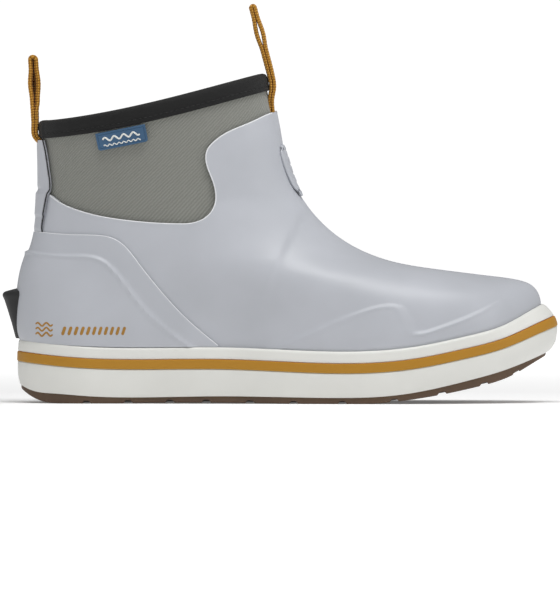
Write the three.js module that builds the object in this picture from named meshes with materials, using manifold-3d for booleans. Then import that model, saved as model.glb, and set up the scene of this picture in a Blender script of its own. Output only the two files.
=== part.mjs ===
// A right deck boot: an ankle-high rubber boot with a neoprene ankle sleeve, a foxed flat sole,
// two pull loops at the collar, a flip-up side tag and a kick-off tab on the heel.
// Millimetres. +X is the toe, +Y the inner (medial) side of the foot, +Z up. The origin is on the
// ground, halfway between the tip of the toe and the tip of the kick-off tab.

import * as THREE from 'three';
import { mergeVertices } from 'three/addons/utils/BufferGeometryUtils.js';
import Module from 'manifold-3d';

const wasm = await Module();
wasm.setup();

// ---------------------------------------------------------------- driving dimensions

// Overall sizes.
const SOLE_LENGTH = 300;
const COLLAR_HEIGHT = 181.6;
const BALL_BREADTH = 111;
const WAIST_BREADTH = 84;
const HEEL_BREADTH = 79;
const COLLAR_BREADTH = 80;
const ANKLE_BREADTH = 75;
const KICK_TAB_REACH = 8.5;

// The air left between two pieces that touch on the real boot.
const GAP = 0.3;

// Sole unit.
const FOXING_THICKNESS = 3.2;
const TOE_BUMPER = 5.6;
const FOXING_ABOVE_STRIPE = 6.6;
const STRIPE_HEIGHT = 5.5;
const STRIPE_DEPTH = 1.4;
const STRIPE_STANDS_PROUD = 0.3;
const OUTSOLE_SET_BACK = 0.7;
const GROOVE_WIDTH = 3.9;
const GROOVE_FLARE = 0.65;
const GROOVE_DEPTH = 1.7;
const WALL_TUCK = 18;
const BOARD_THICKNESS = 2;
const FOOTBED_THICKNESS = 6;
const FOOTBED_COVER_THICKNESS = 1.2;
const PERFORATION_DIAMETER = 3.6;
const PERFORATION_PITCH = 12;

// Layers of the upper, outermost first.
const RUBBER_THICKNESS = 1.8;
const REINFORCEMENT_THICKNESS = 0.8;
const NEOPRENE_THICKNESS = 2.8;
const LINING_THICKNESS = 0.9;
const COUNTER_THICKNESS = 1;
const STRIP_THICKNESS = 1.4;
const BADGE_THICKNESS = 1.7;

// Collar binding.
const BINDING_THICKNESS = 1.4;
const BINDING_HEIGHT = 8.2;

// Pull loops, of flat webbing.
const WEBBING_WIDTH = 12;
const WEBBING_THICKNESS = 1.9;
const FRONT_LOOP_LENGTH = 38;
const REAR_LOOP_LENGTH = 35;
const LOOP_ROOT_RISE = 1.6;
const FRONT_LOOP_LEAN = THREE.MathUtils.degToRad(15);
const REAR_LOOP_LEAN = THREE.MathUtils.degToRad(2);

// Side tag.
const TAG_LENGTH = 28.5;
const TAG_HEIGHT = 9.7;
const TAG_THICKNESS = 1.2;
const TAG_CORNER = 1.6;
const TAG_CENTRE = -88.5;
const TAG_BELLY = 1;
const TAG_DROP = 0.9;

// Kick-off tab.
const KICK_TAB_HALF_WIDTH = 14;
const KICK_TAB_DEPTH = 20;
const KICK_TAB_TOP = 63.6;

// ---------------------------------------------------------------- colours and finishes

const finish = (color, roughness, metalness = 0) =>
  new THREE.MeshStandardMaterial({ color, roughness, metalness });

const greyRubber = finish(0xb2b5bc, 0.45);
const whiteRubber = finish(0xd9d9d4, 0.5);
const goldRubber = finish(0xb08131, 0.5);
const gumRubber = finish(0x64504a, 0.65);
const blackRubber = finish(0x2d2d2d, 0.6);
const neoprene = finish(0x7e7f79, 0.9);
const bindingFabric = finish(0x232323, 0.85);
const webbing = finish(0xa67c3a, 0.85);
const tagRubber = finish(0x2d5373, 0.5);
const foam = finish(0x4a4d50, 0.9);
const board = finish(0x8a7a5e, 0.95);
const liningFabric = finish(0x3a3c3f, 0.95);

// ---------------------------------------------------------------- grading

// Outlines are drawn on the base size and graded to the set size, as a shoe pattern is: lengths
// follow the sole, and heights above the ankle follow the collar.
const BASE_SOLE_LENGTH = 300;
const BASE_COLLAR_HEIGHT = 181.6;
const ANKLE_HEIGHT = 90;

const gradeX = x => x * SOLE_LENGTH / BASE_SOLE_LENGTH;
const shaftGrade = (COLLAR_HEIGHT - ANKLE_HEIGHT) / (BASE_COLLAR_HEIGHT - ANKLE_HEIGHT);
const gradeZ = z => z <= ANKLE_HEIGHT ? z : ANKLE_HEIGHT + (z - ANKLE_HEIGHT) * shaftGrade;
const grade = ([x, z]) => [gradeX(x), gradeZ(z)];

const HEEL_X = (KICK_TAB_REACH - SOLE_LENGTH) / 2;

// A smooth curve y(x) through points, which never overshoots between them.
function curveThrough(points) {
  const xs = points.map(point => point[0]);
  const ys = points.map(point => point[1]);
  const last = xs.length - 1;
  const rise = xs.slice(1).map((x, i) => (ys[i + 1] - ys[i]) / (x - xs[i]));
  const slope = xs.map((_, i) => {
    if (i === 0) return rise[0];
    if (i === last) return rise[last - 1];
    const product = rise[i - 1] * rise[i];
    return product <= 0 ? 0 : 2 * product / (rise[i - 1] + rise[i]);
  });
  return x => {
    let i = 0;
    while (i < last - 1 && x > xs[i + 1]) i += 1;
    const span = xs[i + 1] - xs[i];
    if (x <= xs[0]) return ys[0] + slope[0] * (x - xs[0]);
    if (x >= xs[last]) return ys[last] + slope[last] * (x - xs[last]);
    const t = (x - xs[i]) / span;
    return ys[i] * (1 + 2 * t) * (1 - t) ** 2 + ys[i + 1] * t * t * (3 - 2 * t)
      + span * t * (1 - t) * (slope[i] * (1 - t) - slope[i + 1] * t);
  };
}

const mixed = THREE.MathUtils.lerp;
const eased = THREE.MathUtils.smoothstep;

// ---------------------------------------------------------------- lines of the sole, seen from the side

// Heights are read at the place along the outline, whatever the inset of the ring from it.

const graded = points => curveThrough(points.map(([x, z]) => [gradeX(x), z]));

const groundLine = graded([
  [-146, 7.5], [-140, 3.6], [-134, 1.2], [-124, 0], [50, 0], [68, 1.8], [88, 4.8],
  [111, 9.8], [131, 16.6], [145, 23.5], [154, 27.5],
]);
const foxingBottom = graded([
  [-146, 10.5], [-141, 8.2], [-126, 6], [-106, 4.6], [-37, 4.6], [34, 3.9], [57, 4.7], [80, 7.8],
  [102, 12.8], [125, 19.8], [142, 26], [154, 30.5],
]);
const foxingTop = graded([
  [-146, 35.3], [-116, 32.2], [-100, 31.3], [-30, 31.1], [23, 29.1], [57, 29.7], [80, 32.5],
  [102, 37], [125, 43.9], [142, 51.5], [154, 56.5],
]);

// ---------------------------------------------------------------- outline of the sole, seen from above

const STATIONS = 40;
const stationAngles = Array.from({ length: STATIONS }, (_, i) => 2 * Math.PI * i / STATIONS);

// Distance of the two edges from the sole's middle line, at shares of the length from the heel.
const lateralEdge = curveThrough([
  [0, HEEL_BREADTH / 2], [0.14, HEEL_BREADTH / 2], [0.42, WAIST_BREADTH / 2 + 3],
  [0.67, BALL_BREADTH / 2 + 2], [0.8, BALL_BREADTH / 2 + 1], [1, BALL_BREADTH / 2 - 2],
]);
const medialEdge = curveThrough([
  [0, HEEL_BREADTH / 2], [0.14, HEEL_BREADTH / 2], [0.42, WAIST_BREADTH / 2 - 4],
  [0.68, BALL_BREADTH / 2 - 1.5], [0.8, BALL_BREADTH / 2 - 1], [1, BALL_BREADTH / 2 - 2],
]);
const middleLine = curveThrough([[0, 0], [0.5, 0], [0.8, 3.5], [1, 9]]);

const HEEL_ROUNDING = 0.14;
const TOE_ROUNDING = 0.31;

function endRounding(share) {
  const heel = Math.max(0, 1 - share / HEEL_ROUNDING);
  const toe = Math.max(0, 1 - (1 - share) / TOE_ROUNDING);
  return Math.sqrt((1 - heel ** 2.2) * (1 - toe ** 2.4));
}

// A point of the outline. Angle 0 is the middle of the heel and pi the tip of the toe; the
// lateral side, at -Y, lies between them.
function outlinePoint(angle) {
  const share = (1 - Math.cos(angle)) / 2;
  const lateral = Math.sin(angle) >= 0;
  const reach = lateral ? -lateralEdge(share) : medialEdge(share);
  return new THREE.Vector2(HEEL_X + share * SOLE_LENGTH, middleLine(share) + reach * endRounding(share));
}

// The same point moved inwards, square to the outline.
function insetPoint(angle, inset) {
  const ahead = outlinePoint(angle + 0.01);
  const behind = outlinePoint(angle - 0.01);
  const along = ahead.sub(behind).normalize();
  return outlinePoint(angle).add(new THREE.Vector2(-along.y, along.x).multiplyScalar(inset));
}

// 1 at the tip of the toe, 0 from a short way behind it.
const toeShare = angle => eased((1 - Math.cos(angle)) / 2, 0.86, 1);
const foxingWall = angle => FOXING_THICKNESS + TOE_BUMPER * toeShare(angle);

// How far the foxing's outer face falls back from the outline, at a share of its height.
function foxingFallBack(angle, share) {
  const toe = toeShare(angle);
  return share > 0.5
    ? (0.7 + 6.6 * toe) * (2 * share - 1) ** 2
    : (1.4 + 3.1 * toe) * (1 - 2 * share) ** 3;
}

// ---------------------------------------------------------------- closed bodies from rings of points

// Neighbouring rings are joined by quads. A body is either closed on itself, last ring to first,
// or capped at both ends by strips from the lateral to the medial side. From the ring numbered
// turn the rings come back down, and their quads split along the other diagonal, so that an
// inside face runs parallel to the outside face of the layer within it.
function ringBody(rings, capped, turn = rings.length) {
  const count = rings[0].length;
  const positions = rings.flat().flatMap(point => [point.x, point.y, point.z]);
  const index = [];
  const quad = (a, b, c, d) => index.push(a, b, c, a, c, d);
  const returningQuad = (a, b, c, d) => index.push(a, b, d, b, c, d);
  const joins = capped ? rings.length - 1 : rings.length;
  for (let row = 0; row < joins; row += 1) {
    const low = row * count;
    const high = ((row + 1) % rings.length) * count;
    for (let i = 0; i < count; i += 1) {
      const next = (i + 1) % count;
      const join = row < turn ? quad : returningQuad;
      join(low + i, low + next, high + next, high + i);
    }
  }
  if (capped) {
    const top = (rings.length - 1) * count;
    index.push(1, 0, count - 1, top, top + 1, top + count - 1);
    for (let i = 1; i < count / 2 - 1; i += 1) {
      const across = count - i;
      quad(i + 1, i, across, across - 1);
      quad(top + i, top + i + 1, top + across - 1, top + across);
    }
    const toe = count / 2;
    index.push(toe, toe - 1, toe + 1, top + toe - 1, top + toe, top + toe + 1);
  }
  const geometry = new THREE.BufferGeometry();
  geometry.setAttribute('position', new THREE.Float32BufferAttribute(positions, 3));
  geometry.setIndex(index);
  return geometry;
}

// A ring of the sole unit, at an inset and a height that may both change round the boot.
const soleRing = (inset, height) => stationAngles.map(angle => {
  const point = insetPoint(angle, inset(angle));
  return new THREE.Vector3(point.x, point.y, height(outlinePoint(angle).x));
});

// ---------------------------------------------------------------- solids that are cut and joined

function solidOf(geometry) {
  const bare = geometry.clone();
  bare.deleteAttribute('normal');
  bare.deleteAttribute('uv');
  const merged = mergeVertices(bare, 1e-4);
  const mesh = new wasm.Mesh({
    numProp: 3,
    vertProperties: new Float32Array(merged.attributes.position.array),
    triVerts: new Uint32Array(merged.index.array),
  });
  return new wasm.Manifold(mesh);
}

function geometryOf(solid) {
  const mesh = solid.getMesh();
  const geometry = new THREE.BufferGeometry();
  geometry.setAttribute('position', new THREE.BufferAttribute(new Float32Array(mesh.vertProperties), 3));
  geometry.setIndex(new THREE.BufferAttribute(new Uint32Array(mesh.triVerts), 1));
  return geometry;
}

const REACH = 400;

// A prism right across the boot with this outline, given as [x, z] seen from the side.
function sidePrism(outline, halfWidth = REACH, middle = 0) {
  const shape = new THREE.Shape(outline.map(([x, z]) => new THREE.Vector2(x, z)));
  const prism = new THREE.ExtrudeGeometry(shape, { depth: 2 * halfWidth, bevelEnabled: false });
  return solidOf(prism.rotateX(Math.PI / 2).translate(0, middle + halfWidth, 0));
}

// An upright prism with this shape seen from above.
function planPrism(shape, low, high) {
  const options = { depth: high - low, bevelEnabled: false, curveSegments: 5 };
  return solidOf(new THREE.ExtrudeGeometry(shape, options).translate(0, 0, low));
}

// ---------------------------------------------------------------- surface of the upper

// The outside of the grey rubber is lofted through closed sections. Each section runs from a
// point on the heel's back line to a point on the front line, over the toe, vamp and shin, and
// its breadth is a share of the sole's outline mixed with an oval.
const SECTIONS = [
  { back: [-144, 41], front: [143.6, 60.6], breadth: 84, outline: 1, sag: 0.92 },
  { back: [-144.4, 51], front: [136, 67], breadth: 84, outline: 0.9, sag: 0.62 },
  { back: [-144, 61], front: [116, 70.4], breadth: 82, outline: 0.76, sag: 0.34 },
  { back: [-142.6, 71], front: [88, 73.9], breadth: 80, outline: 0.56, sag: 0.12 },
  { back: [-140, 80], front: [58, 79.6], breadth: 78, outline: 0.34, sag: 0 },
  { back: [-136.4, 91], front: [30, 93.9], breadth: 76, outline: 0.14, sag: 0 },
  { back: [-134.2, 106], front: [11, 115.4], breadth: ANKLE_BREADTH, outline: 0, sag: 0 },
  { back: [-133.6, 126], front: [2.6, 138.5], breadth: ANKLE_BREADTH + 1, outline: 0, sag: 0 },
  { back: [-134.2, 155], front: [-7, BASE_COLLAR_HEIGHT], breadth: COLLAR_BREADTH, outline: 0, sag: 0 },
];
const COLLAR = SECTIONS.length;
const COLLAR_DIP = 3.8;
const DIP_TOWARDS_HEEL = 0.75;

// Sections are numbered from 1. 0 is the ring where the upper leaves the foxing, and from there
// to -1 its wall goes straight down to the midsole.
const wallBottom = x => foxingTop(x) - WALL_TUCK;
const wallRing = angle => insetPoint(angle, foxingWall(angle) + GAP);
const wallHeel = wallRing(0).x;
const wallToe = wallRing(Math.PI).x;
const TOE_X = HEEL_X + SOLE_LENGTH;
const sectionCurve = (first, pick) =>
  curveThrough([[0, first], ...SECTIONS.map((section, i) => [i + 1, pick(section)])]);

const backX = sectionCurve(wallHeel, section => gradeX(section.back[0]));
const backZ = sectionCurve(foxingTop(HEEL_X), section => gradeZ(section.back[1]));
const frontX = sectionCurve(wallToe, section => gradeX(section.front[0]));
const frontZ = sectionCurve(foxingTop(TOE_X), section => gradeZ(section.front[1]));
const ovalBreadth = sectionCurve(SECTIONS[0].breadth, section => section.breadth);
const outlineShare = sectionCurve(1, section => section.outline);
const sagShare = sectionCurve(1, section => section.sag);

function upperPoint(section, angle) {
  const ring = wallRing(angle);
  const { x } = outlinePoint(angle);
  if (section <= 0) {
    return new THREE.Vector3(ring.x, ring.y, mixed(foxingTop(x), wallBottom(x), -section));
  }
  const share = (ring.x - wallHeel) / (wallToe - wallHeel);
  const sag = foxingTop(x) - mixed(foxingTop(HEEL_X), foxingTop(TOE_X), share);
  const sway = Math.sin(Math.PI * Math.max(0, share) ** DIP_TOWARDS_HEEL);
  const dip = COLLAR_DIP * eased(section, COLLAR - 2, COLLAR) * sway;
  const side = Math.sin(angle) >= 0 ? -1 : 1;
  const oval = ovalBreadth(section) / 2 * Math.sqrt(Math.max(0, 1 - Math.abs(2 * share - 1) ** 2.1));
  return new THREE.Vector3(
    mixed(backX(section), frontX(section), share),
    mixed(side * oval, ring.y, outlineShare(section)),
    mixed(backZ(section), frontZ(section), share) + sagShare(section) * sag - dip,
  );
}

// Directions on that surface: along it towards the collar, and straight out of it.
function surfaceFrame(section, angle) {
  const step = 0.02;
  const top = Math.min(section + step, COLLAR);
  const rising = upperPoint(top, angle).sub(upperPoint(top - 2 * step, angle)).normalize();
  const around = upperPoint(section, angle + step).sub(upperPoint(section, angle - step));
  return { rising, outward: around.cross(rising).normalize() };
}

// A point off the surface: offset outwards, then rise along the surface.
function nearUpper(section, angle, offset, rise = 0) {
  const { rising, outward } = surfaceFrame(section, angle);
  return upperPoint(section, angle).addScaledVector(outward, offset).addScaledVector(rising, rise);
}

const LOFT_ROWS = [-1, 0, 1, 2, 3, 3.5, 4, 4.5, 5, 5.5, 6, 7, 8, 8.5, COLLAR];
const loftRing = (section, offset) => stationAngles.map(angle => nearUpper(section, angle, offset(section)));

// A sleeve open at the sole and at the collar, between two offsets from the surface.
function sleeve(outer, inner) {
  const outside = LOFT_ROWS.map(section => loftRing(section, outer));
  const inside = LOFT_ROWS.map(section => loftRing(section, inner)).reverse();
  return ringBody([...outside, ...inside], false, outside.length);
}

// Everything inside one offset from the surface.
const filledCache = new Map();
function filledTo(offset) {
  if (!filledCache.has(offset)) {
    const rings = LOFT_ROWS.map(section => loftRing(section, () => offset));
    filledCache.set(offset, solidOf(ringBody(rings, true)));
  }
  return filledCache.get(offset);
}

// A patch of even thickness that lies on the surface, inside a cutting solid.
const patch = (inner, outer, cutter) => filledTo(outer).intersect(cutter).subtract(filledTo(inner));

// Offsets of the layers from the outside of the grey rubber, inwards.
const reinforcementOuter = -RUBBER_THICKNESS - GAP;
const reinforcementInner = reinforcementOuter - REINFORCEMENT_THICKNESS;
const sleeveOuter = section =>
  mixed(reinforcementInner - GAP, reinforcementOuter, eased(section, 6.4, 7.6));
const neopreneInner = reinforcementInner - GAP - NEOPRENE_THICKNESS;
const liningOuter = neopreneInner - GAP;
const liningInner = liningOuter - LINING_THICKNESS;
const upperWall = -liningInner;

// ---------------------------------------------------------------- outlines on the side of the upper

// Edge of the heel counter, from its top at the back down to the foxing.
const counterEdge = [
  [-150, 95.4], [-136, 94.8], [-110, 92.9], [-97.5, 92.4], [-91.4, 91], [-85.4, 87.2], [-78.6, 78.2],
  [-70.5, 67.6], [-61.6, 57.1], [-51.7, 46.8], [-42, 38.3], [-33.3, 31.1],
];
// Edge of the stiffener inside it.
const stiffenerEdge = [
  [-150, 85], [-131, 82.4], [-103.3, 80.9], [-98.3, 79.3], [-92.3, 74.8], [-84.4, 65],
  [-76.4, 54.6], [-66.6, 44.6], [-56.6, 36.8], [-44, 28],
];
// Edge of the rubber under the fabric window, from the back strip to the front lip.
const windowEdge = [
  [-150, 116.4], [-127.8, 115.2], [-121.9, 110.9], [-113.4, 107.1], [-101.4, 103.7], [-87.9, 101.4],
  [-70.8, 99.7], [-53.8, 99.1], [-46.9, 99.5], [-41, 102.4], [-36.8, 107.6], [-35.3, 114.3],
  [-36.4, 121.1], [-39.3, 128.8], [-40.8, 134.7], [-40.1, 139.8], [-36.8, 144.1], [-30.8, 148.8],
  [-22.5, 152.4], [-6.8, 159.5], [-1.9, 161.1], [20, 161.1],
];
// Upper edge of the toe and side guard, from the toe back to the waist.
const guardEdge = [
  [160, 66.2], [134, 65.6], [128.1, 60.6], [119.2, 55.4], [107.9, 49.6], [90.8, 43], [79.6, 39.6],
  [75, 39.2], [71.6, 40.8], [70.2, 45.4], [68.1, 50.4], [65, 53.2], [56.9, 53.9], [47.8, 51.8],
  [34.2, 46.7], [20.6, 40.6], [5.8, 34.2], [-12, 25],
];
// The pad over each ankle bone, from its front edge round.
const ankleOutline = [
  [2, 103], [4, 94], [-2, 79], [-6, 64], [-16, 52], [-46, 52], [-60, 64], [-72, 80], [-60, 91], [-30, 97],
];
// Front edge of the back strip, from the collar down to the counter.
const stripEdge = [
  [-130.6, 144], [-127.5, 121.3], [-127.5, 117.8], [-128.6, 115.6], [-129.8, 107.1],
  [-131.4, 99.2], [-132, 95.8],
];

// An outline closed along the foxing's top line, which a piece on the outside stands on.
function aboveFoxing(edge, endX) {
  const steps = 8;
  const startX = edge[edge.length - 1][0];
  const foot = Array.from({ length: steps + 1 }, (_, i) => {
    const x = mixed(startX, endX, i / steps);
    return [x, foxingTop(x) + 2 * GAP];
  });
  return [...edge.slice(0, -1), ...foot];
}

// ---------------------------------------------------------------- sole unit

const GROOVES = [-107, -84, -61, -41, -17, 7, 34, 63, 90, 114, 134].map(gradeX);

function outsole() {
  const setBack = angle => foxingFallBack(angle, 0) + OUTSOLE_SET_BACK;
  const edgeHeight = 1.2;
  const rings = [
    soleRing(angle => setBack(angle) + edgeHeight, groundLine),
    soleRing(setBack, x => groundLine(x) + edgeHeight),
    soleRing(setBack, x => foxingBottom(x) - GAP),
  ];
  const grooves = GROOVES.map(x => {
    const low = groundLine(x) - 2 * GROOVE_DEPTH;
    const roof = groundLine(x) + GROOVE_DEPTH;
    const foot = GROOVE_WIDTH / 2 + GROOVE_FLARE * (1 + (groundLine(x) - low) * 2 / GROOVE_DEPTH);
    const top = GROOVE_WIDTH / 2 - GROOVE_FLARE;
    return sidePrism([[x - foot, low], [x + foot, low], [x + top, roof], [x - top, roof]]);
  });
  return geometryOf(grooves.reduce((body, groove) => body.subtract(groove), solidOf(ringBody(rings, true))));
}

// The foxing's outer face is given by shares of its height, with a groove for the stripe.
function foxingShare(x, z) {
  return (z - foxingBottom(x)) / (foxingTop(x) - foxingBottom(x));
}

const foxingRing = (height, depth = 0) => stationAngles.map(angle => {
  const x = outlinePoint(angle).x;
  const inset = foxingFallBack(angle, foxingShare(x, height(x))) + depth;
  const point = insetPoint(angle, inset);
  return new THREE.Vector3(point.x, point.y, height(x));
});

const stripeTop = x => foxingTop(x) - FOXING_ABOVE_STRIPE;
const stripeBottom = x => stripeTop(x) - STRIPE_HEIGHT;

function foxing() {
  const grooveLow = x => stripeBottom(x) - GAP;
  const grooveHigh = x => stripeTop(x) + GAP;
  const inner = height => soleRing(foxingWall, height);
  return ringBody([
    foxingRing(foxingBottom),
    foxingRing(x => foxingBottom(x) + 2.5),
    foxingRing(x => mixed(foxingBottom(x), stripeBottom(x), 0.6)),
    foxingRing(grooveLow),
    foxingRing(grooveLow, STRIPE_DEPTH),
    foxingRing(grooveHigh, STRIPE_DEPTH),
    foxingRing(grooveHigh),
    foxingRing(x => foxingTop(x) - 0.8),
    inner(foxingTop),
    inner(foxingBottom),
  ], false);
}

function foxingStripe() {
  return ringBody([
    foxingRing(stripeBottom, -STRIPE_STANDS_PROUD),
    foxingRing(stripeTop, -STRIPE_STANDS_PROUD),
    foxingRing(stripeTop, STRIPE_DEPTH - 1.5 * GAP),
    foxingRing(stripeBottom, STRIPE_DEPTH - 1.5 * GAP),
  ], false);
}

// A flat layer inside the boot, from its inset from the outline and its heights above the wall's
// bottom line.
function solePlate(inset, low, high) {
  return ringBody([soleRing(inset, low), soleRing(inset, high)], true);
}

const insideFoxing = angle => foxingWall(angle) + GAP;
const insideUpper = angle => insideFoxing(angle) + upperWall + GAP;
const boardTop = x => wallBottom(x) + BOARD_THICKNESS;
const footbedTop = x => boardTop(x) + GAP + FOOTBED_THICKNESS;

const midsole = () => solePlate(insideFoxing, foxingBottom, x => wallBottom(x) - GAP);
const lastingBoard = () => solePlate(insideUpper, wallBottom, boardTop);

// Holes in rows across the forefoot, through the footbed and its cover.
function perforated(plate) {
  const holes = [];
  for (let row = 0; row < 4; row += 1) {
    for (let column = -1; column <= 1; column += 1) {
      const hole = new THREE.CylinderGeometry(PERFORATION_DIAMETER / 2, PERFORATION_DIAMETER / 2, 120, 8);
      const x = gradeX(50) + (row - 1.5) * PERFORATION_PITCH;
      holes.push(solidOf(hole.rotateX(Math.PI / 2).translate(x, column * PERFORATION_PITCH, 0)));
    }
  }
  return geometryOf(holes.reduce((body, hole) => body.subtract(hole), solidOf(plate)));
}

const footbed = () => perforated(solePlate(insideUpper, x => boardTop(x) + GAP, footbedTop));
const footbedCover = () => perforated(
  solePlate(insideUpper, x => footbedTop(x) + GAP, x => footbedTop(x) + GAP + FOOTBED_COVER_THICKNESS),
);

// ---------------------------------------------------------------- collar binding

const collarRing = (offset, rise) => stationAngles.map(angle => nearUpper(COLLAR, angle, offset, rise));
const collarLow = (offset, height) => stationAngles.map(angle => {
  const slope = upperPoint(COLLAR, angle).distanceTo(upperPoint(COLLAR - 0.5, angle)) * 2;
  return nearUpper(COLLAR - height / slope, angle, offset);
});
const bindingOuter = reinforcementOuter + GAP + BINDING_THICKNESS;
const bindingInner = liningInner - GAP - BINDING_THICKNESS;
const bindingTop = GAP + BINDING_THICKNESS;

function collarBinding() {
  return ringBody([
    collarLow(bindingOuter, BINDING_HEIGHT),
    collarRing(bindingOuter, GAP),
    collarRing(bindingOuter - 1.2, bindingTop),
    collarRing(bindingInner + 1.2, bindingTop),
    collarRing(bindingInner, GAP),
    collarLow(bindingInner, BINDING_HEIGHT),
    collarLow(bindingInner + BINDING_THICKNESS, BINDING_HEIGHT),
    collarRing(liningInner - GAP, GAP),
    collarRing(reinforcementOuter + GAP, GAP),
    collarLow(reinforcementOuter + GAP, BINDING_HEIGHT),
  ], false);
}

// ---------------------------------------------------------------- pull loops

// A loop is a flat band folded double. Its root is stitched flat against the boot; above a bend
// line level with the collar it swings. Both parts are given by their shape seen from the side.
const bandThickness = 2 * WEBBING_THICKNESS;

function pullLoop(length) {
  const half = bandThickness / 2;
  const outline = new THREE.Shape();
  outline.absarc(0, 0, half, Math.PI, 2 * Math.PI);
  outline.lineTo(half, length * 0.45);
  outline.absarc(0, length - half * 1.2, half * 1.2, 0, Math.PI);
  outline.lineTo(-half, length * 0.45);
  const slit = new THREE.Path();
  const eye = half * 1.2 - WEBBING_THICKNESS * 0.8;
  slit.moveTo(0.25, length * 0.3);
  slit.absarc(0, length - half * 1.2, eye, 0, Math.PI);
  slit.lineTo(-0.25, length * 0.3);
  slit.closePath();
  outline.holes.push(slit);
  const options = { depth: WEBBING_WIDTH, bevelEnabled: false, curveSegments: 5 };
  const band = new THREE.ExtrudeGeometry(outline, options);
  return band.rotateX(Math.PI / 2).translate(0, WEBBING_WIDTH / 2, 0);
}

// The bend line sits above the binding, just outside its outer face.
function loopHinge(angle) {
  const offset = bindingOuter + GAP + bandThickness / 2;
  return nearUpper(COLLAR, angle, offset, bindingTop + LOOP_ROOT_RISE);
}

const frontHinge = loopHinge(Math.PI);
const rearHinge = loopHinge(0);

// The stitched root follows the boot's outside from the bend down, and tucks into the rubber.
function loopRoot(angle, tuckSection) {
  const clear = bandThickness / 2 + GAP;
  const top = bindingTop + LOOP_ROOT_RISE - clear;
  const outer = bindingOuter + GAP + bandThickness;
  const inner = reinforcementOuter + GAP;
  const side = (section, offset, rise = 0) => {
    const point = nearUpper(section, angle, offset, rise);
    return [point.x, point.z];
  };
  const outline = [
    side(COLLAR, outer, top - 0.6),
    side(COLLAR - 0.5, outer),
    side(tuckSection, 0.2),
    side(tuckSection, inner),
    side(COLLAR - 0.5, inner),
    side(COLLAR, inner),
    side(COLLAR, bindingOuter + GAP + 0.4, top - 0.6),
  ];
  return angle === 0 ? outline : outline.reverse();
}

const bindingEnvelope = () => solidOf(ringBody([
  collarLow(bindingOuter + GAP, BINDING_HEIGHT + GAP),
  collarRing(bindingOuter + GAP, GAP),
  collarRing(bindingOuter + GAP, bindingTop + GAP),
  collarRing(bindingInner - GAP, bindingTop + GAP),
  collarLow(bindingInner - GAP, BINDING_HEIGHT + GAP),
], false));

const frontTuck = COLLAR - 0.8;
const rearTuck = COLLAR - 0.75;
const frontRootOutline = loopRoot(Math.PI, frontTuck);
const rearRootOutline = loopRoot(0, rearTuck);

const loopRootSolid = outline => sidePrism(outline, WEBBING_WIDTH / 2)
  .subtract(filledTo(reinforcementOuter + GAP))
  .subtract(bindingEnvelope());

// The pocket that a root needs in the rubber round it.
function rootPocket(outline) {
  const low = Math.min(...outline.map(point => point[1])) - GAP;
  const rear = Math.min(...outline.map(point => point[0])) - 8;
  const front = Math.max(...outline.map(point => point[0])) + 8;
  const pocket = [[rear, low], [front, low], [front, low + 40], [rear, low + 40]];
  return sidePrism(pocket, WEBBING_WIDTH / 2 + GAP);
}

// ---------------------------------------------------------------- rubber upper and its overlays

const OPEN_END = 260;
const windowCutter = () => sidePrism([
  ...windowEdge.map(grade), [gradeX(20), OPEN_END], [gradeX(-150), OPEN_END],
].reverse());

function vampShell() {
  const skin = solidOf(sleeve(() => 0, () => -RUBBER_THICKNESS));
  return skin.subtract(windowCutter()).subtract(rootPocket(frontRootOutline));
}

function heelCounter() {
  const outline = aboveFoxing(counterEdge.map(grade), gradeX(-150));
  return patch(GAP, GAP + COUNTER_THICKNESS, sidePrism(outline.reverse()));
}

function heelStiffener() {
  const edge = stiffenerEdge.map(grade);
  const outline = [...edge, [gradeX(-44), 18], [gradeX(-150), 18]];
  return patch(reinforcementInner, reinforcementOuter, sidePrism(outline.reverse()));
}

function toeGuard() {
  const edge = guardEdge.map(grade);
  const outline = [...edge, [gradeX(-12), 16], [gradeX(60), 16], [gradeX(110), 26], [gradeX(160), 46]];
  return patch(reinforcementInner, reinforcementOuter, sidePrism(outline));
}

// One pad on each side of the ankle: side is -1 for the outer ankle and 1 for the inner.
function anklePad(side) {
  const outline = ankleOutline.map(grade).reverse();
  return patch(reinforcementInner, reinforcementOuter, sidePrism(outline, REACH / 2, side * REACH / 2));
}

// The back strip covers the seam behind the ankle. Its lower part lies on the rubber upper, its
// upper part on the neoprene.
function backStrip() {
  const front = stripEdge.map(grade);
  const strip = [...front, [gradeX(-150), gradeZ(95.8)], [gradeX(-150), gradeZ(144)]].reverse();
  const onRubber = patch(GAP, GAP + STRIP_THICKNESS, sidePrism(strip));
  const joint = grade([0, 116.8])[1];
  const above = sidePrism([[-REACH, joint], [0, joint], [0, OPEN_END], [-REACH, OPEN_END]]);
  const below = sidePrism([[-REACH, 0], [0, 0], [0, joint + 1], [-REACH, joint + 1]]);
  const onNeoprene = patch(-RUBBER_THICKNESS, GAP + 0.6, sidePrism(strip)).intersect(above);
  return onRubber.intersect(below).add(onNeoprene).subtract(rootPocket(rearRootOutline));
}

// A shield-shaped badge on the shin.
function frontBadge() {
  const shield = new THREE.Shape();
  const low = gradeZ(114.2);
  const high = gradeZ(143);
  shield.moveTo(0, low);
  shield.quadraticCurveTo(8, low, 8.5, low + 6);
  shield.lineTo(11, high - 5);
  shield.quadraticCurveTo(11.5, high, 6, high);
  shield.lineTo(-6, high);
  shield.quadraticCurveTo(-11.5, high, -11, high - 5);
  shield.lineTo(-8.5, low + 6);
  shield.quadraticCurveTo(-8, low, 0, low);
  const prism = new THREE.ExtrudeGeometry(shield, { depth: 60, bevelEnabled: false, curveSegments: 4 });
  const cutter = solidOf(prism.rotateX(Math.PI / 2).rotateZ(Math.PI / 2).translate(-30, 0, 0));
  return patch(GAP, GAP + BADGE_THICKNESS, cutter);
}

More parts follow.
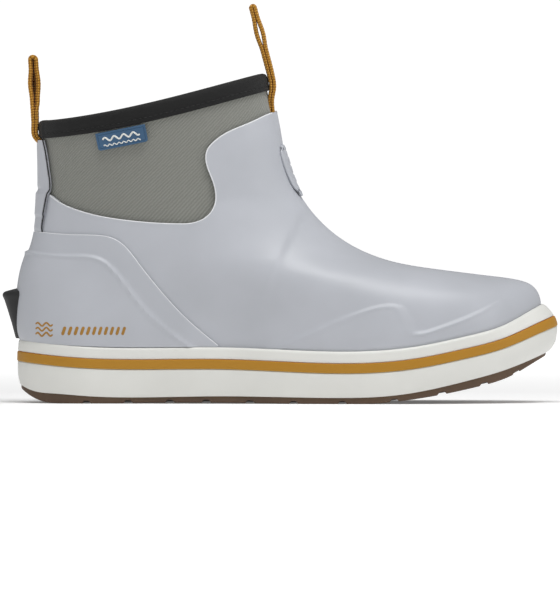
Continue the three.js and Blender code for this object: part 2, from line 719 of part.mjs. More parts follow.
function kickTab() {
  const foot = foxingTop(HEEL_X) + 2 * GAP;
  const tip = HEEL_X - KICK_TAB_REACH;
  const inside = HEEL_X + 8;
  const profile = sidePrism([
    [inside, foot], [inside, KICK_TAB_TOP + 1.6], [HEEL_X, KICK_TAB_TOP], [tip + 1.5, KICK_TAB_TOP - 2.1],
    [tip, KICK_TAB_TOP - 4], [tip + 1.4, KICK_TAB_TOP - 9], [HEEL_X - 0.6, foot],
  ].reverse());
  const plan = new THREE.Shape();
  plan.absellipse(tip + KICK_TAB_DEPTH, 0, KICK_TAB_DEPTH, KICK_TAB_HALF_WIDTH, 0, 2 * Math.PI);
  return profile.intersect(planPrism(plan, 0, 80)).subtract(filledTo(2 * GAP + COUNTER_THICKNESS));
}

// ---------------------------------------------------------------- side tag

function roundedPlate(width, height, corner, thickness) {
  const shape = new THREE.Shape();
  shape.moveTo(corner, -height);
  shape.lineTo(width - corner, -height);
  shape.absarc(width - corner, corner - height, corner, -Math.PI / 2, 0);
  shape.lineTo(width, 0);
  shape.lineTo(0, 0);
  shape.lineTo(0, corner - height);
  shape.absarc(corner, corner - height, corner, Math.PI, 1.5 * Math.PI);
  return new THREE.ExtrudeGeometry(shape, { depth: thickness, bevelEnabled: false, curveSegments: 4 });
}

// The point just under the binding's lower edge where the tag's top edge is sewn.
function tagEdgePoint(angle) {
  const slope = upperPoint(COLLAR, angle).distanceTo(upperPoint(COLLAR - 0.5, angle)) * 2;
  const offset = reinforcementOuter + TAG_BELLY + TAG_THICKNESS;
  return nearUpper(COLLAR - (BINDING_HEIGHT + TAG_DROP) / slope, angle, offset);
}

// The place round the collar, on its outer side, that lies at this x.
function collarAngleAt(x) {
  let rear = 0;
  let front = Math.PI;
  while (front - rear > 1e-5) {
    const middle = (rear + front) / 2;
    if (tagEdgePoint(middle).x < x) rear = middle;
    else front = middle;
  }
  return rear;
}

// The tag hangs from the lower edge of the binding, flat against the sleeve. Its hinge line is its
// top edge: origin is that line's rear end, and the three directions are along, up and outward.
function tagFrame() {
  const angle = collarAngleAt(gradeX(TAG_CENTRE));
  const along = tagEdgePoint(angle + 0.1).sub(tagEdgePoint(angle - 0.1)).normalize();
  const up = surfaceFrame(COLLAR, angle).outward.cross(along).normalize();
  const outward = new THREE.Vector3().crossVectors(along, up);
  const origin = tagEdgePoint(angle).addScaledVector(along, -TAG_LENGTH / 2);
  return { origin, along, up, outward };
}

// ---------------------------------------------------------------- the boot

const boot = new THREE.Group();
const soleUnit = new THREE.Group();
const upper = new THREE.Group();
const trims = new THREE.Group();
boot.add(soleUnit, upper, trims);

function addPiece(parent, name, geometry, material) {
  const mesh = new THREE.Mesh(geometry, material);
  mesh.name = name;
  parent.add(mesh);
  return mesh;
}

addPiece(soleUnit, 'outsole', outsole(), gumRubber);
addPiece(soleUnit, 'midsole', midsole(), foam);
addPiece(soleUnit, 'lasting_board', lastingBoard(), board);
addPiece(soleUnit, 'footbed', footbed(), foam);
addPiece(soleUnit, 'footbed_cover', footbedCover(), liningFabric);
addPiece(soleUnit, 'foxing', foxing(), whiteRubber);
addPiece(soleUnit, 'foxing_stripe', foxingStripe(), goldRubber);

addPiece(upper, 'vamp_shell', geometryOf(vampShell()), greyRubber);
addPiece(upper, 'heel_counter', geometryOf(heelCounter()), greyRubber);
addPiece(upper, 'heel_stiffener', geometryOf(heelStiffener()), board);
addPiece(upper, 'toe_guard', geometryOf(toeGuard()), blackRubber);
addPiece(upper, 'ankle_pad_outer', geometryOf(anklePad(-1)), blackRubber);
addPiece(upper, 'ankle_pad_inner', geometryOf(anklePad(1)), blackRubber);
addPiece(upper, 'neoprene_sleeve', sleeve(sleeveOuter, () => neopreneInner), neoprene);
addPiece(upper, 'lining', sleeve(() => liningOuter, () => liningInner), liningFabric);
addPiece(upper, 'collar_binding', collarBinding(), bindingFabric);

addPiece(trims, 'back_strip', geometryOf(backStrip()), greyRubber);
addPiece(trims, 'front_badge', geometryOf(frontBadge()), greyRubber);
addPiece(trims, 'kick_tab', geometryOf(kickTab()), blackRubber);
addPiece(trims, 'front_loop_root', geometryOf(loopRootSolid(frontRootOutline)), webbing);
addPiece(trims, 'rear_loop_root', geometryOf(loopRootSolid(rearRootOutline)), webbing);

const frontLoop = addPiece(trims, 'front_pull_loop', pullLoop(FRONT_LOOP_LENGTH), webbing);
frontLoop.position.copy(frontHinge);
frontLoop.rotation.y = -FRONT_LOOP_LEAN;

const rearLoop = addPiece(trims, 'rear_pull_loop', pullLoop(REAR_LOOP_LENGTH), webbing);
rearLoop.position.copy(rearHinge);
rearLoop.rotation.y = -REAR_LOOP_LEAN;

const { origin, along, up, outward } = tagFrame();
const tagPlate = roundedPlate(TAG_LENGTH, TAG_HEIGHT, TAG_CORNER, TAG_THICKNESS);
const sideTag = addPiece(trims, 'side_tag', tagPlate.translate(0, 0, -TAG_THICKNESS), tagRubber);
sideTag.position.copy(origin);
sideTag.setRotationFromMatrix(new THREE.Matrix4().makeBasis(along, up, outward));

export default boot;
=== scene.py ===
# %% [markdown]
# # A right deck boot, finished around its fixed frame
#
# The frame holds the boot's real sizes and its three hinges: two pull loops and a side tag. This
# lesson adds what the eye sees: satin grey rubber with the soft ridges of the layers under it,
# ribbed neoprene, knitted binding, woven loops, and a foxed sole with its gum outsole.

# %% The frame
import math

import bmesh
import bpy
import numpy as np
from mathutils import Matrix, Vector


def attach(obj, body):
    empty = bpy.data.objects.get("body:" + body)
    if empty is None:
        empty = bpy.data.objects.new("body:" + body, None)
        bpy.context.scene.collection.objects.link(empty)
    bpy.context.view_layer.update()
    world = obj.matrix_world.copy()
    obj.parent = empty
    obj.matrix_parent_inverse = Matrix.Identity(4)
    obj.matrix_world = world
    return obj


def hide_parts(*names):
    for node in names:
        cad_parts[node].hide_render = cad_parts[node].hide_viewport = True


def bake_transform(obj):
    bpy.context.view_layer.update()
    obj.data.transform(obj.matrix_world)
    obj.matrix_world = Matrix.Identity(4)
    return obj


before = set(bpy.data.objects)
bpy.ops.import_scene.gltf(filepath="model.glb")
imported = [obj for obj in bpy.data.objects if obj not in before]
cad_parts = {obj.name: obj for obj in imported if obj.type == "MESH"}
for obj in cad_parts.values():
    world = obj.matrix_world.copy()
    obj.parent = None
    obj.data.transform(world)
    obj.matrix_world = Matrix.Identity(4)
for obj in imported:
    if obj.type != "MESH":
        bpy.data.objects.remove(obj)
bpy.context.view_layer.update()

# %% [markdown]
# ## Units, and smooth lines through a few points
#
# A shoemaker works in millimetres, and so do the formulas here; points become metres only when
# they reach a mesh. A line of the boot is given by a few points. A natural cubic spline joins
# them with no kink in its curvature, which matters on satin rubber, where a kink shows as a band
# in the reflection. A monotone curve would never overshoot, but it bands.

# %% Smooth lines
MM = 0.001


def line_through(points):
    xs, ys = (np.array(column, float) for column in zip(*points))
    gap = np.diff(xs)
    rise = np.diff(ys) / gap
    count = len(xs)
    system = np.eye(count)
    bend = np.zeros(count)
    for i in range(1, count - 1):
        system[i, i - 1:i + 2] = gap[i - 1], 2 * (gap[i - 1] + gap[i]), gap[i]
        bend[i] = 6 * (rise[i] - rise[i - 1])
    bend = np.linalg.solve(system, bend)
    first = rise[0] - gap[0] * bend[1] / 6
    last = rise[-1] + gap[-1] * bend[-2] / 6

    def value(x):
        x = np.asarray(x, float)
        i = np.clip(np.searchsorted(xs, x) - 1, 0, count - 2)
        ahead, behind = xs[i + 1] - np.clip(x, xs[0], xs[-1]), np.clip(x, xs[0], xs[-1]) - xs[i]
        curve = (bend[i] * ahead ** 3 + bend[i + 1] * behind ** 3) / (6 * gap[i])
        curve += (ys[i] / gap[i] - bend[i] * gap[i] / 6) * ahead
        curve += (ys[i + 1] / gap[i] - bend[i + 1] * gap[i] / 6) * behind
        return curve + first * np.minimum(x - xs[0], 0) + last * np.maximum(x - xs[-1], 0)

    return value


def ease(value, low, high):
    t = np.clip((np.asarray(value, float) - low) / (high - low), 0, 1)
    return t * t * (3 - 2 * t)


def mix(a, b, share):
    return a + (b - a) * share


# %% [markdown]
# ## The sole's outline and lines
#
# Everything at the bottom follows one outline seen from above, and a few lines seen from the
# side: the ground line with its toe spring, and the foxing's bottom and top. They repeat the
# frame's own values, except that at the toe they lie up to 2 mm lower than the solids do.

# %% Sole outline
SOLE_LENGTH = 300
BALL_BREADTH = 111
WAIST_BREADTH = 84
HEEL_BREADTH = 79
KICK_TAB_REACH = 8.5
GAP = 0.3
HEEL_X = (KICK_TAB_REACH - SOLE_LENGTH) / 2
TOE_X = HEEL_X + SOLE_LENGTH

ground_line = line_through([
    (-146, 7.5), (-140, 3.6), (-134, 1.2), (-124, 0), (-100, 0), (0, 0), (50, 0), (68, 1.8), (88, 4.8),
    (111, 9.5), (131, 15.2), (145, 21.5), (154, 25.5),
])
foxing_bottom = line_through([
    (-146, 10.5), (-141, 8.2), (-126, 6), (-106, 4.6), (-37, 4.6), (34, 3.9), (57, 4.7), (80, 7.8),
    (102, 12.7), (125, 18.7), (142, 24.2), (154, 28.5),
])
LOWER_LIP = 0.6
foxing_top = line_through([
    (-146, 35.3), (-116, 32.2), (-100, 31.3), (-30, 31.1), (23, 29.1), (57, 29.7), (80, 32.5),
    (102, 37), (125, 43), (142, 49.9), (154, 54.6),
])
lateral_edge = line_through([
    (0, HEEL_BREADTH / 2), (0.14, HEEL_BREADTH / 2), (0.42, WAIST_BREADTH / 2 + 3),
    (0.67, BALL_BREADTH / 2 + 2), (0.8, BALL_BREADTH / 2 + 1), (1, BALL_BREADTH / 2 - 2),
])
medial_edge = line_through([
    (0, HEEL_BREADTH / 2), (0.14, HEEL_BREADTH / 2), (0.42, WAIST_BREADTH / 2 - 4),
    (0.68, BALL_BREADTH / 2 - 1.5), (0.8, BALL_BREADTH / 2 - 1), (1, BALL_BREADTH / 2 - 2),
])
middle_line = line_through([(0, 0), (0.3, 0), (0.5, 0.4), (0.8, 3.5), (1, 9)])


def outline_point(angle):
    share = (1 - np.cos(angle)) / 2
    heel = np.maximum(0, 1 - share / 0.14) ** 2.2
    toe = np.maximum(0, 1 - (1 - share) / 0.31) ** 2.4
    reach = np.where(np.sin(angle) >= 0, -lateral_edge(share), medial_edge(share))
    rounding = np.sqrt(np.maximum(0, (1 - heel) * (1 - toe)))
    return HEEL_X + share * SOLE_LENGTH, middle_line(share) + reach * rounding


def inset_point(angle, inset):
    step = 0.01
    ahead, behind, here = outline_point(angle + step), outline_point(angle - step), outline_point(angle)
    along = np.array(ahead) - np.array(behind)
    along /= np.hypot(*along)
    return here[0] - along[1] * inset, here[1] + along[0] * inset


def toe_share(angle):
    return ease((1 - np.cos(angle)) / 2, 0.86, 1)


FOXING_WALL, BUMPER_EXTRA = 3.2, 5.6


def foxing_wall(angle):
    return FOXING_WALL + BUMPER_EXTRA * toe_share(angle)


# %% [markdown]
# ## The upper's surface
#
# A last is turned through sections, and so is this surface. Each section is a closed loop from a
# point on the heel's back line to a point on the front line, over the toe, vamp and shin. Low
# loops keep the sole's outline, high ones are ovals. A place on the boot is then two numbers: the
# section, and the angle round it from the heel past the outer side. The alternative, carving a
# block, would give no such coordinates, and every seam line below needs them.

# %% Upper surface
SECTIONS = [
    # back x and z, front x and z, breadth, share of the outline, share of its sag
    ((-144, 41), (143.6, 60.6), 84, 1, 0.92),
    ((-144.4, 51), (136, 67), 84, 0.9, 0.62),
    ((-144, 61), (116, 70.4), 82, 0.76, 0.34),
    ((-142.6, 71), (88, 73.9), 80, 0.56, 0.12),
    ((-140, 80), (58, 79.6), 78, 0.34, 0),
    ((-136.4, 91), (30, 93.9), 76, 0.14, 0),
    ((-134.2, 106), (11, 115.4), 75, 0, 0),
    ((-133.6, 126), (2.6, 138.5), 76, 0, 0),
    ((-134.2, 155), (-7, 181.6), 80, 0, 0),
]
COLLAR = len(SECTIONS)
COLLAR_DIP = 3.8
WALL_TUCK = 18
wall_heel = inset_point(np.array(0.0), foxing_wall(0.0) + GAP)[0]
wall_toe = inset_point(np.array(math.pi), foxing_wall(math.pi) + GAP)[0]


def section_line(first, pick):
    return line_through([(0, first)] + [(i + 1, pick(row)) for i, row in enumerate(SECTIONS)])


back_x = section_line(wall_heel, lambda row: row[0][0])
back_z = section_line(float(foxing_top(HEEL_X)), lambda row: row[0][1])
front_x = section_line(wall_toe, lambda row: row[1][0])
front_z = section_line(float(foxing_top(TOE_X)), lambda row: row[1][1])
oval_breadth = section_line(84, lambda row: row[2])
outline_share = section_line(1, lambda row: row[3])
sag_share = section_line(1, lambda row: row[4])


def skin(section, angle):
    section, angle = np.broadcast_arrays(np.asarray(section, float), np.asarray(angle, float))
    x, y = inset_point(angle, foxing_wall(angle) + GAP)
    outline_x = outline_point(angle)[0]
    top = foxing_top(outline_x)
    free = np.maximum(section, 0)
    share = (x - wall_heel) / (wall_toe - wall_heel)
    sag = top - mix(foxing_top(HEEL_X), foxing_top(TOE_X), share)
    dip = COLLAR_DIP * ease(free, COLLAR - 2, COLLAR) * np.sin(np.pi * np.maximum(share, 0) ** 0.75)
    side = np.where(np.sin(angle) >= 0, -1, 1)
    oval = oval_breadth(free) / 2 * np.sqrt(np.maximum(0, 1 - np.abs(2 * share - 1) ** 2.1))
    keep = np.clip(outline_share(free), 0, 1)
    point = np.stack([
        mix(back_x(free), front_x(free), share),
        mix(side * oval, y, keep),
        mix(back_z(free), front_z(free), share) + np.clip(sag_share(free), 0, 1) * sag - dip,
    ], -1)
    wall = np.stack([x, y, mix(top, top - WALL_TUCK, -np.minimum(section, 0))], -1)
    return np.where((section < 0)[..., None], wall, point)


def outward(section, angle):
    step = 0.03
    top = np.minimum(np.asarray(section, float) + step, COLLAR)
    rising = skin(top, angle) - skin(top - 2 * step, angle)
    around = skin(section, angle + step) - skin(section, angle - step)
    normal = np.cross(around, rising)
    return normal / np.linalg.norm(normal, axis=-1, keepdims=True)


def off_skin(section, angle, offset):
    return skin(section, angle) + outward(section, angle) * np.asarray(offset)[..., None]


# %% [markdown]
# ## From a pattern line to a place on the boot
#
# Seams and edges are drawn as a pattern maker draws them, seen from the side, as x and z. To cut
# a sheet along such a line, each of its points needs its section and angle. Section and height
# rise together, so halving the interval finds the section; the angle then follows from how far
# along the loop the point lies.

# %% Finding places
def angle_of(share, side):
    table = np.linspace(0, math.pi, 721)
    angles = table if side < 0 else 2 * math.pi - table
    x = inset_point(angles, foxing_wall(angles) + GAP)[0]
    return np.interp(share, (x - wall_heel) / (wall_toe - wall_heel), angles)


def place_of(x, z, side):
    low, high = np.full(x.shape, 0.0), np.full(x.shape, COLLAR + 0.3)
    for _ in range(30):
        section = (low + high) / 2
        share = np.clip((x - back_x(section)) / (front_x(section) - back_x(section)), 0, 1)
        angle = angle_of(share, side)
        below = skin(section, angle)[..., 2] < z
        low, high = np.where(below, section, low), np.where(below, high, section)
    return section, angle


def from_behind(angle):
    """The same angle counted from -pi to pi, with no jump at the back."""
    return np.where(angle > math.pi, angle - 2 * math.pi, angle)


def travel(points):
    """The distance covered along the points, starting at 0."""
    return np.concatenate([[0], np.cumsum(np.linalg.norm(np.diff(points, axis=0), axis=1))])


def flowing(points, spacing=1.0):
    """A smooth line through given points, sampled about every spacing millimetres."""
    points = np.array(points, float)
    length = travel(points)
    at = np.linspace(0, length[-1], max(2, int(length[-1] / spacing)))
    return np.stack([line_through(list(zip(length, points[:, k])))(at) for k in (0, 1)], -1)


def depth_inside(x, z, outline):
    """Distance to a closed outline, positive inside it."""
    start, end = outline, np.roll(outline, -1, axis=0)
    nearest = np.full(x.shape, np.inf)
    inside = np.zeros(x.shape, bool)
    for (ax, az), (bx, bz) in zip(start, end):
        dx, dz = bx - ax, bz - az
        t = np.clip(((x - ax) * dx + (z - az) * dz) / (dx * dx + dz * dz + 1e-12), 0, 1)
        nearest = np.minimum(nearest, np.hypot(x - ax - t * dx, z - az - t * dz))
        if az != bz:
            inside ^= ((az > z) != (bz > z)) & (x < ax + (z - az) / (bz - az) * dx)
    return np.where(inside, nearest, -nearest)


# %% [markdown]
# ## Pattern lines
#
# These are the boot's drawn lines. The window edge frames the neoprene; the counter edge is a
# crisp overlay; the guard, stiffener and ankle lines belong to layers under the rubber and show
# only as soft steps.

# %% Pattern lines
WINDOW_EDGE = [
    (-150, 116.6), (-136, 116), (-127.8, 115.2), (-121.9, 110.9), (-113.4, 107.1), (-101.4, 103.7),
    (-87.9, 101.4), (-70.8, 99.7), (-56, 99.1), (-48, 99.6), (-41, 102.6), (-36.8, 107.6),
    (-35.3, 114.3), (-36.4, 121.1), (-39.3, 128.8), (-40.8, 134.7), (-40.1, 139.8), (-36.8, 144.1),
    (-30.8, 148.6), (-22.5, 152.6), (-14, 156.2), (-7.5, 159.4), (-4, 160.8), (3, 161.6),
]
COUNTER_EDGE = [
    (-150, 95.4), (-136, 94.6), (-121, 93.3), (-108, 92.9), (-97.5, 92.4), (-91.4, 90.7), (-85.6, 86.6),
    (-78.6, 78), (-70.5, 67.6), (-61.6, 57.1), (-51.7, 46.8), (-42, 38.3), (-33.3, 31.1), (-26, 24),
]
STIFFENER_EDGE = [
    (-150, 85), (-140, 83.4), (-131, 82.2), (-116, 81.2), (-103.3, 80.8), (-98.3, 79.2), (-92.3, 74.6),
    (-84.4, 65), (-76.4, 54.6), (-66.6, 44.6), (-56.6, 36.8), (-44, 28),
]
GUARD_EDGE = [
    (160, 67.5), (146, 67), (134, 65), (128.1, 60.6), (119.2, 55.4), (107.9, 49.6), (90.8, 43),
    (80.5, 39.6), (75, 39), (71.8, 40.8), (70.2, 45.4), (68.3, 50.2), (64.5, 53.2), (56.9, 53.9),
    (47.8, 51.8), (34.2, 46.7), (20.6, 40.6), (5.8, 34.2), (-12, 25),
]
STRIP_EDGE = [(-131.6, 146), (-130.6, 142), (-128.2, 127), (-127.5, 121.3), (-127.5, 118.4)]
STRIP_EDGE_LOW = [
    (-127.7, 117.2), (-128.6, 113.6), (-129.8, 107.1), (-131.2, 99.2), (-131.8, 94), (-132.2, 88),
]


def closed(edge, *corners):
    return np.vstack([flowing(edge), np.array(corners, float)])


window_shape = closed(WINDOW_EDGE, (60, 300), (-200, 300), (-200, 116.6))
counter_shape = closed(COUNTER_EDGE, (-26, 0), (-200, 0), (-200, 95.4))
stiffener_shape = closed(STIFFENER_EDGE, (-44, 0), (-200, 0), (-200, 85))
guard_shape = closed(GUARD_EDGE, (-12, 0), (220, 0), (220, 67.5))
strip_line = np.vstack([flowing(STRIP_EDGE, 0.7), flowing(STRIP_EDGE_LOW, 0.7)])
strip_shape = np.vstack([strip_line, [(-200, 88), (-200, 146)]])
print("pattern lines", {"window": len(window_shape), "guard": len(guard_shape)})

# %% [markdown]
# ## Soft relief of the layers under the rubber
#
# Where a layer ends under 2 mm of rubber, the surface steps up by about a millimetre over two,
# with a low bead along the step. It could be a bump map, but the step catches the light and shows
# in the outline, so it is moved geometry: each shape raises the skin inside it.

# %% Relief
def raised(x, z, shape, height, width, bead=0.0):
    depth = depth_inside(x, z, shape)
    return height * ease(depth, -width / 2, width / 2) + bead * np.exp(-((depth - 0.3) / 1.1) ** 2)


def layer_relief(points):
    x, y, z = points[..., 0], points[..., 1], points[..., 2]
    relief = raised(x, z, guard_shape, height=1.15, width=2.2, bead=0.6) * mix(1.0, 0.1, ease(x, 104, 130))
    ankle_line = line_through([(40, -14), (52, -9), (64, -5), (79, 0), (94, 7), (104, 12), (125, 17)])
    ankle = ease(ankle_line(z) - x, -2.5, 2.5) * ease(z, 40, 58) * (1 - ease(z, 100, 116))
    relief = relief + 0.9 * ankle * (1 - ease(-x, 20, 60))
    over_webbing = (1 - ease(np.abs(y), 4.0, 8.0)) * ease(z, 136, 158) * (x > -40)
    rim = np.exp(-((depth_inside(x, z, window_shape) + 0.5) / 0.8) ** 2)
    return relief + 0.9 * over_webbing + 0.3 * rim


# %% [markdown]
# ## Sheets cut from the skin
#
# A piece of the upper starts as a flat grid whose two directions are angle and section. Faces
# outside the piece's shape are deleted, the ragged rim is pulled onto the pattern line, and only
# then is the sheet bent onto the boot, so that every vertex lies on the true surface. Cutting the
# finished boot with booleans would leave slivers along each seam.

# %% Sheet maker
ROUND_SCALE = 62.0
RISE_SCALE = 20.0
FARTHEST_PULL = 8


def plane_sheet(first, last, low, high, columns, rows):
    """A flat grid: x holds the angle and y the section."""
    sheet = bmesh.new()
    bmesh.ops.create_grid(sheet, x_segments=columns, y_segments=rows, size=1)
    for vertex in sheet.verts:
        vertex.co.x = mix(first, last, (vertex.co.x + 1) / 2)
        vertex.co.y = mix(low, high, (vertex.co.y + 1) / 2)
    return sheet


def coordinates(sheet):
    flat = np.array([vertex.co[:] for vertex in sheet.verts])
    return flat[:, 0], flat[:, 1]


def lay(vertices, points):
    """Moves the vertices to points in millimetres."""
    for vertex, point in zip(vertices, points):
        vertex.co = Vector(point * MM)


def map_surface(sheet, across, along):
    """Gives the sheet its own map, read by the finishes."""
    layer = sheet.loops.layers.uv.new("Surface")
    sheet.verts.index_update()
    for face in sheet.faces:
        for loop in face.loops:
            i = loop.vert.index
            loop[layer].uv = across[i], along[i]


def weld(sheet):
    bmesh.ops.remove_doubles(sheet, verts=sheet.verts, dist=1e-6)


def close_ends(sheet):
    bmesh.ops.holes_fill(sheet, edges=[edge for edge in sheet.edges if edge.is_boundary], sides=0)


def face_out(sheet):
    bmesh.ops.recalc_face_normals(sheet, faces=sheet.faces)


def face_towards(sheet, direction):
    face_out(sheet)
    if sum(face.normal.dot(direction) for face in sheet.faces) < 0:
        bmesh.ops.reverse_faces(sheet, faces=sheet.faces)


def cut_sheet(sheet, shape, keep_inside):
    """Deletes the faces off the piece, and pulls the new rim onto the shape's line."""
    outer = {edge for edge in sheet.edges if edge.is_boundary}
    old_rim = {vertex for edge in outer for vertex in edge.verts}
    centres = np.array([face.calc_center_median()[:] for face in sheet.faces])
    where = skin(centres[:, 1], centres[:, 0])
    inside = depth_inside(where[:, 0], where[:, 2], shape) > 0
    faces = [face for face, is_in in zip(sheet.faces, inside) if is_in != keep_inside]
    bmesh.ops.delete(sheet, geom=faces, context="FACES")
    rim = {vertex for edge in sheet.edges if edge.is_boundary for vertex in edge.verts} - old_rim
    targets = []
    for side in (-1, 1):
        section, angle = place_of(shape[:, 0], shape[:, 1], side)
        for turn in (0, -side * 2 * math.pi * ROUND_SCALE):
            targets.append(np.stack([angle * ROUND_SCALE + turn, section * RISE_SCALE], -1))
    for vertex in rim:
        here = np.array([vertex.co.x * ROUND_SCALE, vertex.co.y * RISE_SCALE])
        best, found = None, 1e9
        for line in targets:
            start, span = line[:-1], np.diff(line, axis=0)
            t = np.clip(((here - start) * span).sum(1) / ((span * span).sum(1) + 1e-12), 0, 1)
            spot = start + span * t[:, None]
            distance = np.hypot(*(spot - here).T)
            k = int(distance.argmin())
            if distance[k] < found:
                best, found = spot[k], distance[k]
        if found < FARTHEST_PULL:
            vertex.co.x, vertex.co.y = best[0] / ROUND_SCALE, best[1] / RISE_SCALE


def bend_sheet(sheet, offset):
    """Gives the flat sheet a map in centimetres and lays it on the skin."""
    angle, section = coordinates(sheet)
    base = skin(section, angle)
    points = off_skin(section, angle, offset(base, section))
    around = collar_run(angle)
    map_surface(sheet, around / 10, points[:, 2] / 10)
    lay(sheet.verts, points)
    weld(sheet)


collar_table = np.linspace(-0.2, 2 * math.pi + 0.2, 800)
collar_points = skin(np.full(800, COLLAR - 1.0), collar_table)
collar_length = travel(collar_points)


def collar_run(angle):
    return np.interp(angle, collar_table, collar_length)


print("collar measures %.0f mm round" % (collar_run(2 * math.pi) - collar_run(0)))

# %% [markdown]
# ## Making a piece of a bmesh
#
# A finished piece is one object at the origin, smooth shaded. Solidify gives a sheet its wall,
# growing inwards from the face that was drawn, and a small bevel rounds the wall's edge: rubber
# has no sharp arrises, and the rounded lip is what catches the light round the window.

# %% Piece maker
def smooth_object(name, sheet):
    mesh = bpy.data.meshes.new(name)
    sheet.to_mesh(mesh)
    sheet.free()
    made = bpy.data.objects.new(name, mesh)
    bpy.context.scene.collection.objects.link(made)
    mesh.polygons.foreach_set("use_smooth", [True] * len(mesh.polygons))
    return made


def piece(name, sheet, body="root", wall=0.0, lip=0.0, replaces=()):
    made = smooth_object(name, sheet)
    if wall:
        thick = made.modifiers.new("Wall", "SOLIDIFY")
        thick.thickness = wall * MM
        thick.offset = -1
        thick.use_even_offset = False
    if lip:
        rounded = made.modifiers.new("Lip", "BEVEL")
        rounded.width = lip * MM
        rounded.segments = 2
        rounded.limit_method = "ANGLE"
        rounded.angle_limit = math.radians(50)
        rounded.harden_normals = False
    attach(made, body)
    if replaces:
        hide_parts(*replaces)
    print(name, len(made.data.vertices), "points")
    return made


# %% [markdown]
# ## The grey rubber upper
#
# The vamp runs from under the foxing up to the window and, at the front, up the shin as a tongue
# that covers the webbing. It is one moulded skin.

# %% Vamp shell
vamp = plane_sheet(0, 2 * math.pi, -0.6, COLLAR - 0.25, 300, 170)
cut_sheet(vamp, window_shape, keep_inside=False)
bend_sheet(vamp, lambda base, section: layer_relief(base) * ease(section, -0.3, 0.3))
piece("vamp_skin", vamp, wall=1.7, lip=0.45, replaces=["vamp_shell"])

# %% [markdown]
# ## The heel counter
#
# A second sheet of the same rubber is cemented round the heel, with a crisp edge over 1 mm high. It
# starts at the back, so its grid runs from one side to the other through angle 0.

# %% Heel counter
COUNTER_LIFT = 1.3


def stiffener_relief(x, z):
    return raised(x, z, stiffener_shape, height=1.1, width=2.0, bead=0.75)


counter = plane_sheet(-1.35, 1.35, 0.03, 6.7, 190, 120)
cut_sheet(counter, counter_shape, keep_inside=True)
bend_sheet(counter, lambda base, section: COUNTER_LIFT + stiffener_relief(base[:, 0], base[:, 2]))
piece("heel_counter_sheet", counter, wall=1.25, lip=0.4, replaces=["heel_counter"])

# %% [markdown]
# ## The back strip
#
# A moulded strip covers the seam at the back: thin on the fabric, thicker where it lies on the
# rubber, with a raised pad between. A black line of paint runs down each front edge, made here as
# its own narrow cord lying on the edge, because paint laid in a step keeps a crisp width.

# %% Back strip
def strip_lift(base, _):
    y, z = base[:, 1], base[:, 2]
    pad = ease(z, 102.5, 105) * (1 - ease(z, 115.5, 118))
    middle = 1 - ease(np.abs(y), 8.5, 11.5)
    thick = mix(1.5, 0.75, ease(z, 116, 119)) + 0.6 * pad + 0.45 * middle * ease(z, 118, 121)
    return mix(0.4, thick, ease(z, 92, 98))


strip = plane_sheet(-0.52, 0.52, 5.2, COLLAR - 0.3, 70, 110)
cut_sheet(strip, strip_shape, keep_inside=True)
bend_sheet(strip, strip_lift)
piece("back_strip_sheet", strip, wall=1.9, lip=0.5, replaces=["back_strip"])


def round_line(name, points, radius, body="root"):
    """A thin cord laid along points, in millimetres, closed at both ends."""
    sheet = bmesh.new()
    points = np.asarray(points, float)
    tangent = np.gradient(points, axis=0)
    tangent /= np.linalg.norm(tangent, axis=1, keepdims=True)
    count = len(points)
    bmesh.ops.create_cone(sheet, cap_ends=True, cap_tris=False, segments=8,
                          radius1=1, radius2=1, depth=2)
    long_edges = [edge for edge in sheet.edges if abs(edge.verts[0].co.z - edge.verts[1].co.z) > 1]
    bmesh.ops.subdivide_edges(sheet, edges=long_edges, cuts=count - 2, use_grid_fill=True)
    for vertex in sheet.verts:
        i = int(round((vertex.co.z + 1) / 2 * (count - 1)))
        ahead = Vector(tangent[i])
        across = ahead.orthogonal() if abs(ahead.y) > 0.9 else ahead.cross(Vector((0, 1, 0)))
        across.normalize()
        other = ahead.cross(across)
        end = 0.55 if i in (0, count - 1) else 1
        offset = (across * vertex.co.x + other * vertex.co.y) * radius * end
        vertex.co = (Vector(points[i]) + offset) * MM
    face_out(sheet)
    return piece(name, sheet, body=body)


for side, word in ((-1, "outer"), (1, "inner")):
    section, angle = place_of(strip_line[:, 0] + 0.35, strip_line[:, 1], side)
    angle = from_behind(angle)
    base = skin(section, angle)
    edge = off_skin(section, angle, strip_lift(base, section) - 0.3)
    round_line("back_strip_line_" + word, edge, 0.34)

# %% [markdown]
# ## Rolled edges, with a painted highlight
#
# Where the rubber is trimmed, its edge is rolled a little outwards. A fine bead laid along the
# window's edge and the counter's edge gives that lip, and its pale colour is a painted highlight:
# the light line that the lip catches.

# %% Rolled edges
window_line = flowing([p for p in WINDOW_EDGE if -128 < p[0] < -3], 0.7)
counter_line = flowing([p for p in COUNTER_EDGE if p[0] > -137], 0.7)
counter_line = counter_line[counter_line[:, 1] > foxing_top(counter_line[:, 0]) + 0.6]
for side, word in ((-1, "outer"), (1, "inner")):
    section, angle = place_of(window_line[:, 0], window_line[:, 1], side)
    base = skin(section, angle)
    edge = off_skin(section, angle, layer_relief(base) - 0.35)
    round_line("window_bead_" + word, edge, 0.42)
    section, angle = place_of(counter_line[:, 0], counter_line[:, 1], side)
    angle = from_behind(angle)
    base = skin(section, angle)
    lift = COUNTER_LIFT + stiffener_relief(base[:, 0], base[:, 2]) - 0.34
    round_line("counter_bead_" + word, off_skin(section, angle, lift), 0.36)

# %% [markdown]
# ## The shin badge
#
# A shield stands on the shin, 2 mm thick with a soft edge. Its own mark is left out; three plain
# waves in low relief take its place. The shield is a square grid squeezed to its outline.

